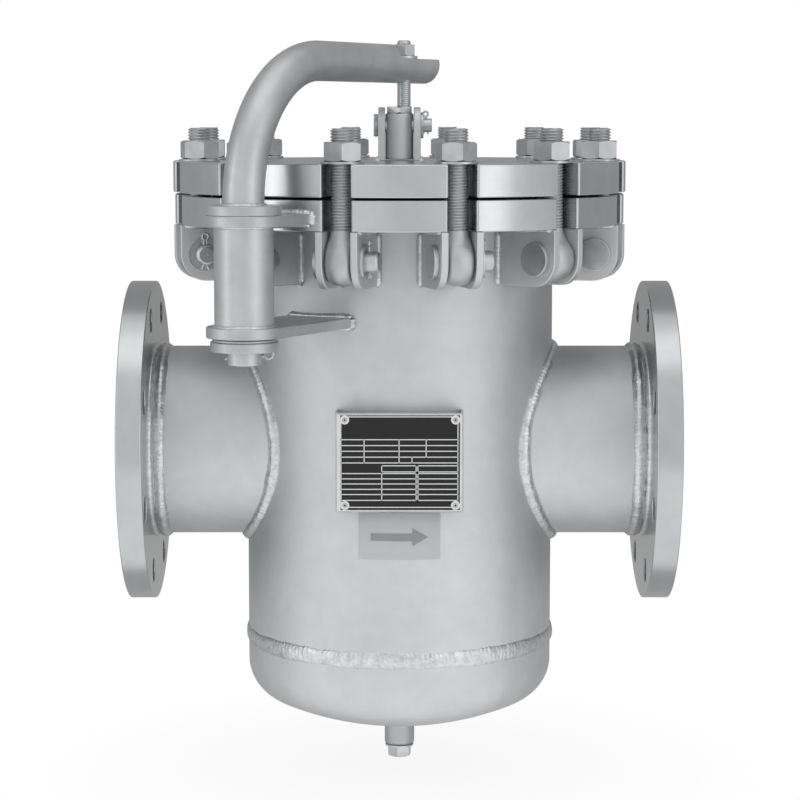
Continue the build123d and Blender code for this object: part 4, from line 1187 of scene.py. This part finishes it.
# %% Rivets
collars, rivets = [], []
for x in (FIELD_LOW[0] + 3.7 * MM, FIELD_HIGH[0] - 3.7 * MM):
    for z in (FIELD_LOW[2] + 3.9 * MM, FIELD_HIGH[2] - 3.9 * MM):
        collar = np.array([(2.1, 0.2), (2.1, -0.5), (2.5, -0.75), (3.4, -0.7), (3.8, -0.4),
                           (3.9, 0.2)]) * MM
        head = np.array([(0, 0.1), (0.8, 0.1), (0.8, -0.55), (1.2, -0.75), (1.9, -0.55),
                         (2.1, 0.2), (0, 0.2)]) * MM
        collars.append(turned(collar, 28, (x, plate_front, z), "Y"))
        rivets.append(turned(head, 24, (x, plate_front, z), "Y", closed=False))
piece("nameplate_rivet_collars", collars, PLATE_LINE, "vessel", sharp=50)
piece("nameplate_rivet_heads", rivets, BRIGHT, "vessel", sharp=50)

# %% [markdown]
# The plate stands off the shell on a bracket, a sheet bent at both sides. Seen from above that
# is a U, so its outline is carried up like any other plate.

# %% Bracket
def bracket_part():
    """Sheet bent at both sides: a U in plan, carried up to the bracket's height."""
    t = 2 * MM
    (left, front, bottom), (right, back, top) = BRACKET_LOW, BRACKET_HIGH
    outline = [(left, front), (right, front), (right, back), (right - t, back),
               (right - t, front + t), (left + t, front + t), (left + t, back), (left, back)]
    return plate_part(outline, top - bottom, lambda u, v, w: (u, v, w + (top + bottom) / 2))


piece("nameplate_bracket_skin", [bracket_part()], FACED, "vessel",
      ["nameplate_bracket"], bevel=0.4 * MM, sharp=30)

# %% [markdown]
# The flow arrow is printed on a clear film stuck to the shell, so both are drawn flat and
# bent round the cylinder: distance sideways becomes an angle.

# %% Arrow film
FILM_STEPS = 40


def on_shell(x, z, lift):
    """Point on the front of the shell: with a = x / R it is (r sin a, -r cos a, z)."""
    a = x / SHELL_R
    r = SHELL_R + lift + 0 * x
    return np.stack([r * np.sin(a), -r * np.cos(a), z], -1) + AXIS


FILM_LOW, FILM_HIGH = low("flow_arrow_film"), high("flow_arrow_film")
half_film = SHELL_R * np.arcsin((FILM_HIGH[0] - FILM_LOW[0]) / 2 / SHELL_R)
x, z = np.meshgrid(np.linspace(-half_film, half_film, FILM_STEPS),
                   [FILM_LOW[2], FILM_HIGH[2], FILM_HIGH[2], FILM_LOW[2]])
lift = np.array([0.1, 0.1, 0.45, 0.45])[:, None] * MM
film_faces = grid_faces(4, FILM_STEPS, wrap_rows=True, wrap_columns=False)
left_end = np.arange(4) * FILM_STEPS
film_faces += [left_end.tolist(), (left_end + FILM_STEPS - 1).tolist()]
piece("arrow_film_skin", [(on_shell(x, z, lift), film_faces)], FILM, "vessel",
      ["flow_arrow_film"], sharp=60)

# %% [markdown]
# The arrow is a strip whose half height changes along its length: level for the shaft, then a
# jump to the head, which falls to a point.

# %% Printed arrow
ARROW_STEPS = 60
ARROW_TIP = 24.5
HEAD_START = 10.5
HEAD_HALF = 8.2
SHAFT_HALF = 3.3
ARROW_Z = (FILM_LOW[2] + FILM_HIGH[2]) / 2 - 1 * MM
steps = np.linspace(-ARROW_TIP, ARROW_TIP, ARROW_STEPS)
head_half = np.clip((ARROW_TIP - steps) / (ARROW_TIP - HEAD_START) * HEAD_HALF, 0, HEAD_HALF)
half_height = np.where(steps < HEAD_START, SHAFT_HALF, head_half) * MM
x = np.repeat((steps * MM)[None], 2, 0)
z = ARROW_Z + np.stack([-half_height, half_height])
arrow = on_shell(x, z, 0.6 * MM).reshape(-1, 3)
piece("arrow_print_skin", [(arrow, grid_faces(2, ARROW_STEPS, wrap_columns=False))], ARROW, "vessel",
      sharp=60)

# %% [markdown]
# ## Weld beads
# A bead is a half-sunk tube along the joint. Its radius ripples once for every drop of
# metal, and wanders a little, as a hand-laid bead does.

# %% One weld bead
def bead(path, r, ripple=2.2 * MM, depth=0.16, wander=0.12, closed=False, around=8):
    """Tube whose radius is r * (1 + depth * ripple wave + slow wander)."""
    path = np.asarray(path, float)
    step = np.linalg.norm(np.diff(path, axis=0), axis=1)
    s = np.concatenate([[0], np.cumsum(step)])
    fine = np.arange(0, s[-1], ripple / 3.2)
    if not closed:
        fine = np.append(fine, s[-1])
    path = np.stack([np.interp(fine, s, path[:, k]) for k in range(3)], -1)
    saw = (fine / ripple) % 1.0
    knots = max(4, int(s[-1] / (12 * MM)))
    slow = np.interp(fine, np.linspace(0, s[-1], knots), rng.uniform(-1, 1, knots))
    rr = r * (1 + depth * (saw - 0.5) + wander * slow)
    if not closed:
        ends = np.clip(np.minimum(fine, s[-1] - fine) / (1.5 * r) + 0.35, 0, 1)
        rr = rr * ends
    return tube_along(path, rr, around, closed)


def ring_path(r, height, centre=AXIS, steps=240):
    """Level circle whose end meets its start: x = r cos a, y = r sin a."""
    a = np.linspace(0, TAU, steps)
    return np.stack([r * np.cos(a), r * np.sin(a), np.full(steps, height)], -1) + centre


print("a closed ring path has", len(ring_path(1, 0)), "points")

# %% [markdown]
# The round joints come first: the seam between shell and head, pressed wide, the saddles, the
# two runs at each pipe flange, the drain socket and the ends of the sleeve.

# %% Beads of the round joints
vessel_beads = []
seam = ring_path(SHELL_R - 1.6 * MM, 0.0, steps=360)
seam_points, seam_faces = bead(seam, 3.6 * MM, 4.2 * MM, 0.10, 0.10, True, 18)
seam_points[:, 2] = SEAM_Z + seam_points[:, 2] * 2.2
vessel_beads.append((seam_points, seam_faces))
for side in (-1, 1):
    a = np.linspace(0, TAU, 260)
    sunk_pipe, sunk_shell = PIPE_R - 1.5 * MM, SHELL_R - 1.5 * MM
    saddle = np.stack([side * np.sqrt(sunk_shell**2 - (sunk_pipe * np.sin(a)) ** 2),
                       sunk_pipe * np.sin(a), PIPE_Z + sunk_pipe * np.cos(a)], -1) + AXIS
    vessel_beads.append(bead(saddle, 7.2 * MM, 3.4 * MM, 0.07, 0.10, True, 16))
    back = (high("inlet_flange") if side < 0 else low("outlet_flange"))[0]
    for inwards, r, sunk in ((0, 3.4, 0), (9, 6.4, 3.4)):
        ring_r = PIPE_R - sunk * MM
        collar = np.stack([np.full(260, back - side * inwards * MM), ring_r * np.sin(a),
                           PIPE_Z + ring_r * np.cos(a)], -1)
        vessel_beads.append(bead(collar, r * MM, 3.0 * MM, 0.06, 0.10, True, 14))
vessel_beads.append(bead(ring_path(DRAIN_R, HEAD_BOTTOM - 0.3 * MM, steps=60), 2 * MM, closed=True))
for end in (SLEEVE_LOW, SLEEVE_TOP):
    vessel_beads.append(bead(ring_path(SLEEVE_R, end, DAVIT_AT, 90), 1.6 * MM, closed=True))
print("beads of the round joints", len(vessel_beads))

# %% [markdown]
# Each lug has a fillet down both faces of its root and one under the flange. The davit plates
# have them above and below, and one up each corner.

# %% Beads of lugs and davit plates
for turn in BOLT_TURN:
    for side in (-1, 1):
        for face in (LUG_GAP / 2, LUG_GAP / 2 + LUG_T):
            across = side * face
            out = np.sqrt(SHELL_R**2 - across**2) + 0.6 * MM
            down = [(out, across, FLANGE_LOW - 3 * MM), (out, across, LUG_LOW - 1 * MM)]
            vessel_beads.append(bead(spin_to(np.array(down) + AXIS, turn), 3.4 * MM, 3.2 * MM, 0.07,
                                     0.10))
        across = side * (LUG_GAP / 2 + LUG_T)
        under = [(SHELL_R, across, FLANGE_LOW), (LUG_REACH - 3 * MM, across, FLANGE_LOW)]
        vessel_beads.append(bead(spin_to(np.array(under) + AXIS, turn), 3.0 * MM, 3.2 * MM, 0.07,
                                 0.10))
for level, root_r, size in ((SLEEVE_TOP, FLANGE_R, 3.2), (SLEEVE_TOP + PLATE_T, FLANGE_R, 3.6),
                            (SLEEVE_LOW, SHELL_R, 3.0), (SLEEVE_LOW - PLATE_T, SHELL_R, 3.0)):
    half = np.arcsin(PLATE_HALF / root_r)
    flat = arc(root_r + 0.8 * MM, -half, half, 30)
    path = np.column_stack([flat, np.full(30, level)]) + AXIS
    vessel_beads.append(bead(spin_to(path, DAVIT_TURN), size * MM, 3.4 * MM, 0.3, 0.2))
for level, root_r, size in ((SLEEVE_TOP, FLANGE_R, 4.4), (SLEEVE_LOW - PLATE_T, SHELL_R, 3.6)):
    for side in (-1, 1):
        turn = side * np.arcsin(PLATE_HALF / root_r)
        corner = np.array([root_r * np.cos(turn), root_r * np.sin(turn)])
        post = [(*corner, level - 2 * MM), (*corner, level + PLATE_T + 2 * MM)]
        vessel_beads.append(bead(spin_to(np.array(post) + AXIS, DAVIT_TURN), size * MM, 3.4 * MM, 0.3))
piece("vessel_welds", vessel_beads, WELD, "vessel", sharp=70)

# %% [markdown]
# What moves with the cover has its own beads, or they would stay behind when it swings.

# %% Beads on the cover and the arm
cover_beads = [bead(ring_path(ARM_R, ARM_FOOT, DAVIT_AT, 90), 1.8 * MM, closed=True)]
for side in (-1, 1):
    foot = AXIS[0] + side * CLEVIS_OUTER
    line = [(foot, -CLEVIS_HALF, COVER_TOP), (foot, CLEVIS_HALF, COVER_TOP)]
    cover_beads.append(bead(line, 3.6 * MM, 3.2 * MM, 0.24))
piece("cover_welds", cover_beads, WELD, "cover_and_davit", sharp=70)

# %% [markdown]
# ## Pieces that keep their solid
# The basket, its seat, the gasket and the bushes are right as they are in the frame; they
# only get a finish.

# %% Finishes on the frame's own nodes
KEPT = {
    "basket_screen": SHEET, "basket_liner": SHEET, "basket_rim": SHEET, "basket_floor": SHEET,
    "basket_handle": SHEET, "basket_seat_plate": SHEET, "cover_gasket": GASKET,
    "davit_bushes": BRONZE,
}
for node, finish in KEPT.items():
    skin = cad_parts[node].data
    skin.materials.clear()
    skin.materials.append(finish)
print("kept solids", sorted(KEPT))

# %% [markdown]
# ## Floor and light
# The photograph is cut out on white. The floor shows white to the camera and keeps a faint
# shadow. In reflections, its part behind the object is painted darker, as painted shade. The room is a
# pale studio: soft white walls with darker strips between them, which draw the upright bands on the
# turned rims.

# %% Floor
PLUG_DROP = 12 * MM
FLOOR_Z = low("drain_plug_and_seal")[2] - PLUG_DROP - 3 * MM
FLOOR_HALF = 1.3
corners = np.array([(-1, -1, 0), (1, -1, 0), (1, 1, 0), (-1, 1, 0)]) * FLOOR_HALF
floor_mesh = bpy.data.meshes.new("floor")
floor_mesh.from_pydata((corners + [AXIS[0], AXIS[1], FLOOR_Z]).tolist(), [], [(0, 1, 2, 3)])
floor = bpy.data.objects.new("floor", floor_mesh)
bpy.context.scene.collection.objects.link(floor)
floor_finish = Finish("studio_floor")
floor_finish.set(Base_Color=(0.9, 0.9, 0.9, 1), Roughness=0.9)
rays = floor_finish.node("ShaderNodeLightPath")
unlit = (rays["Is Camera Ray"] + rays["Is Glossy Ray"]) + rays["Is Transmission Ray"]
centred = floor_finish.node("ShaderNodeVectorMath", {"operation": "SUBTRACT"},
                            {0: floor_finish.place, 1: tuple(AXIS)})["Vector"]
away = floor_finish.node("ShaderNodeVectorMath", {"operation": "LENGTH"}, {0: centred})["Value"]
share = floor_finish.node("ShaderNodeMapRange", {"interpolation_type": "SMOOTHSTEP"},
                          {"Value": away, "From Min": 0.22, "From Max": 0.5, "To Min": 0.86,
                           "To Max": 1.0})["Result"]
# Painted shade: in reflections only, the floor from 5 cm in front of the axis backwards turns to 0.48
# grey, standing in for the dark side behind the object; the camera still sees it white.
behind = floor_finish.node("ShaderNodeSeparateXYZ", None, {"Vector": centred})["Y"]
painted_shade_behind = floor_finish.node("ShaderNodeMapRange", None,
                          {"Value": behind, "From Min": -0.09, "From Max": -0.05})["Result"]
tone = floor_finish.tint(painted_shade_behind * rays["Is Glossy Ray"], (1, 1, 1), (0.48, 0.48, 0.48))
glow = floor_finish.node("ShaderNodeEmission", None, {"Color": tone, "Strength": 1.0})["Emission"]
lit = Sock(floor_finish, floor_finish.shader.outputs[0])
blend = floor_finish.node("ShaderNodeMixShader", None, {0: unlit * share, 1: lit, 2: glow})[0]
floor_finish.feed(floor_finish.tree.nodes["Material Output"].inputs["Surface"], blend)
floor_mesh.materials.append(floor_finish.material)
print("floor at", FLOOR_Z)

# %% [markdown]
# The walls are a ramp of greys over the bearing. A turned rim mirrors one place of it at each
# angle, so the greys were set until the rims had bright and dark bands where they belong.

# %% Room
world = bpy.data.worlds.new("studio")
bpy.context.scene.world = world
world.use_nodes = True
background = world.node_tree.nodes["Background"]
BAND_STOPS = [(0.0, 0.60), (0.035, 0.70), (0.055, 0.84), (0.075, 0.84), (0.09, 0.38), (0.105, 0.38),
              (0.12, 0.80), (0.20, 0.90), (0.235, 0.78), (0.25, 0.68), (0.28, 0.74), (0.32, 0.80),
              (0.35, 0.82), (0.40, 0.84), (0.425, 0.78), (0.47, 0.68), (0.505, 0.60), (0.52, 0.36),
              (0.56, 0.42), (0.66, 0.38), (0.75, 0.34), (0.86, 0.40), (0.92, 0.44), (1.0, 0.60)]
room = Nodes(world.node_tree)
direction = room.node("ShaderNodeTexCoord")["Generated"]
split = room.node("ShaderNodeSeparateXYZ", None, {"Vector": direction})
bearing = room.node("ShaderNodeMath", {"operation": "ARCTAN2"}, {0: split["Y"], 1: split["X"]})
place = bearing["Value"] * (1 / TAU) + 0.5
walls = room.node("ShaderNodeValToRGB", {"stops": BAND_STOPS}, {"Fac": place})["Color"]
seen = room.node("ShaderNodeLightPath")["Is Camera Ray"]
white = (1, 1, 1, 1)
shown = room.node("ShaderNodeMix", {"data_type": "RGBA"}, {0: seen, 6: walls, 7: white})[2]
room.feed(background.inputs["Color"], shown)
room.feed(background.inputs["Strength"], 1.0)
print("the room has", len(BAND_STOPS), "greys")

# %% [markdown]
# Three large soft lamps: a tall one at the left draws the bright edge, one at the right opens
# the shadows, and one above shows the tops of the nuts. Large lamps keep the shadows faint.

# %% Lamps
def softbox(name, place, target, size, power):
    """Rectangular lamp that looks at a point."""
    data = bpy.data.lights.new(name, "AREA")
    data.shape = "RECTANGLE"
    data.size, data.size_y = size
    data.energy = power
    lamp = bpy.data.objects.new(name, data)
    lamp.location = Vector(place)
    lamp.rotation_euler = (Vector(target) - Vector(place)).to_track_quat("-Z", "Y").to_euler()
    bpy.context.scene.collection.objects.link(lamp)


softbox("key_left", AXIS + [-1.9, -1.0, 0.3], AXIS, (0.4, 2.2), 4)
softbox("fill_right", AXIS + [1.5, -1.6, 0.3], AXIS, (0.7, 2.2), 3.6)
softbox("top", AXIS + [0, -0.3, 2.2], AXIS, (2.0, 2.0), 6)
print("lamps", [lamp.name for lamp in bpy.data.lights])
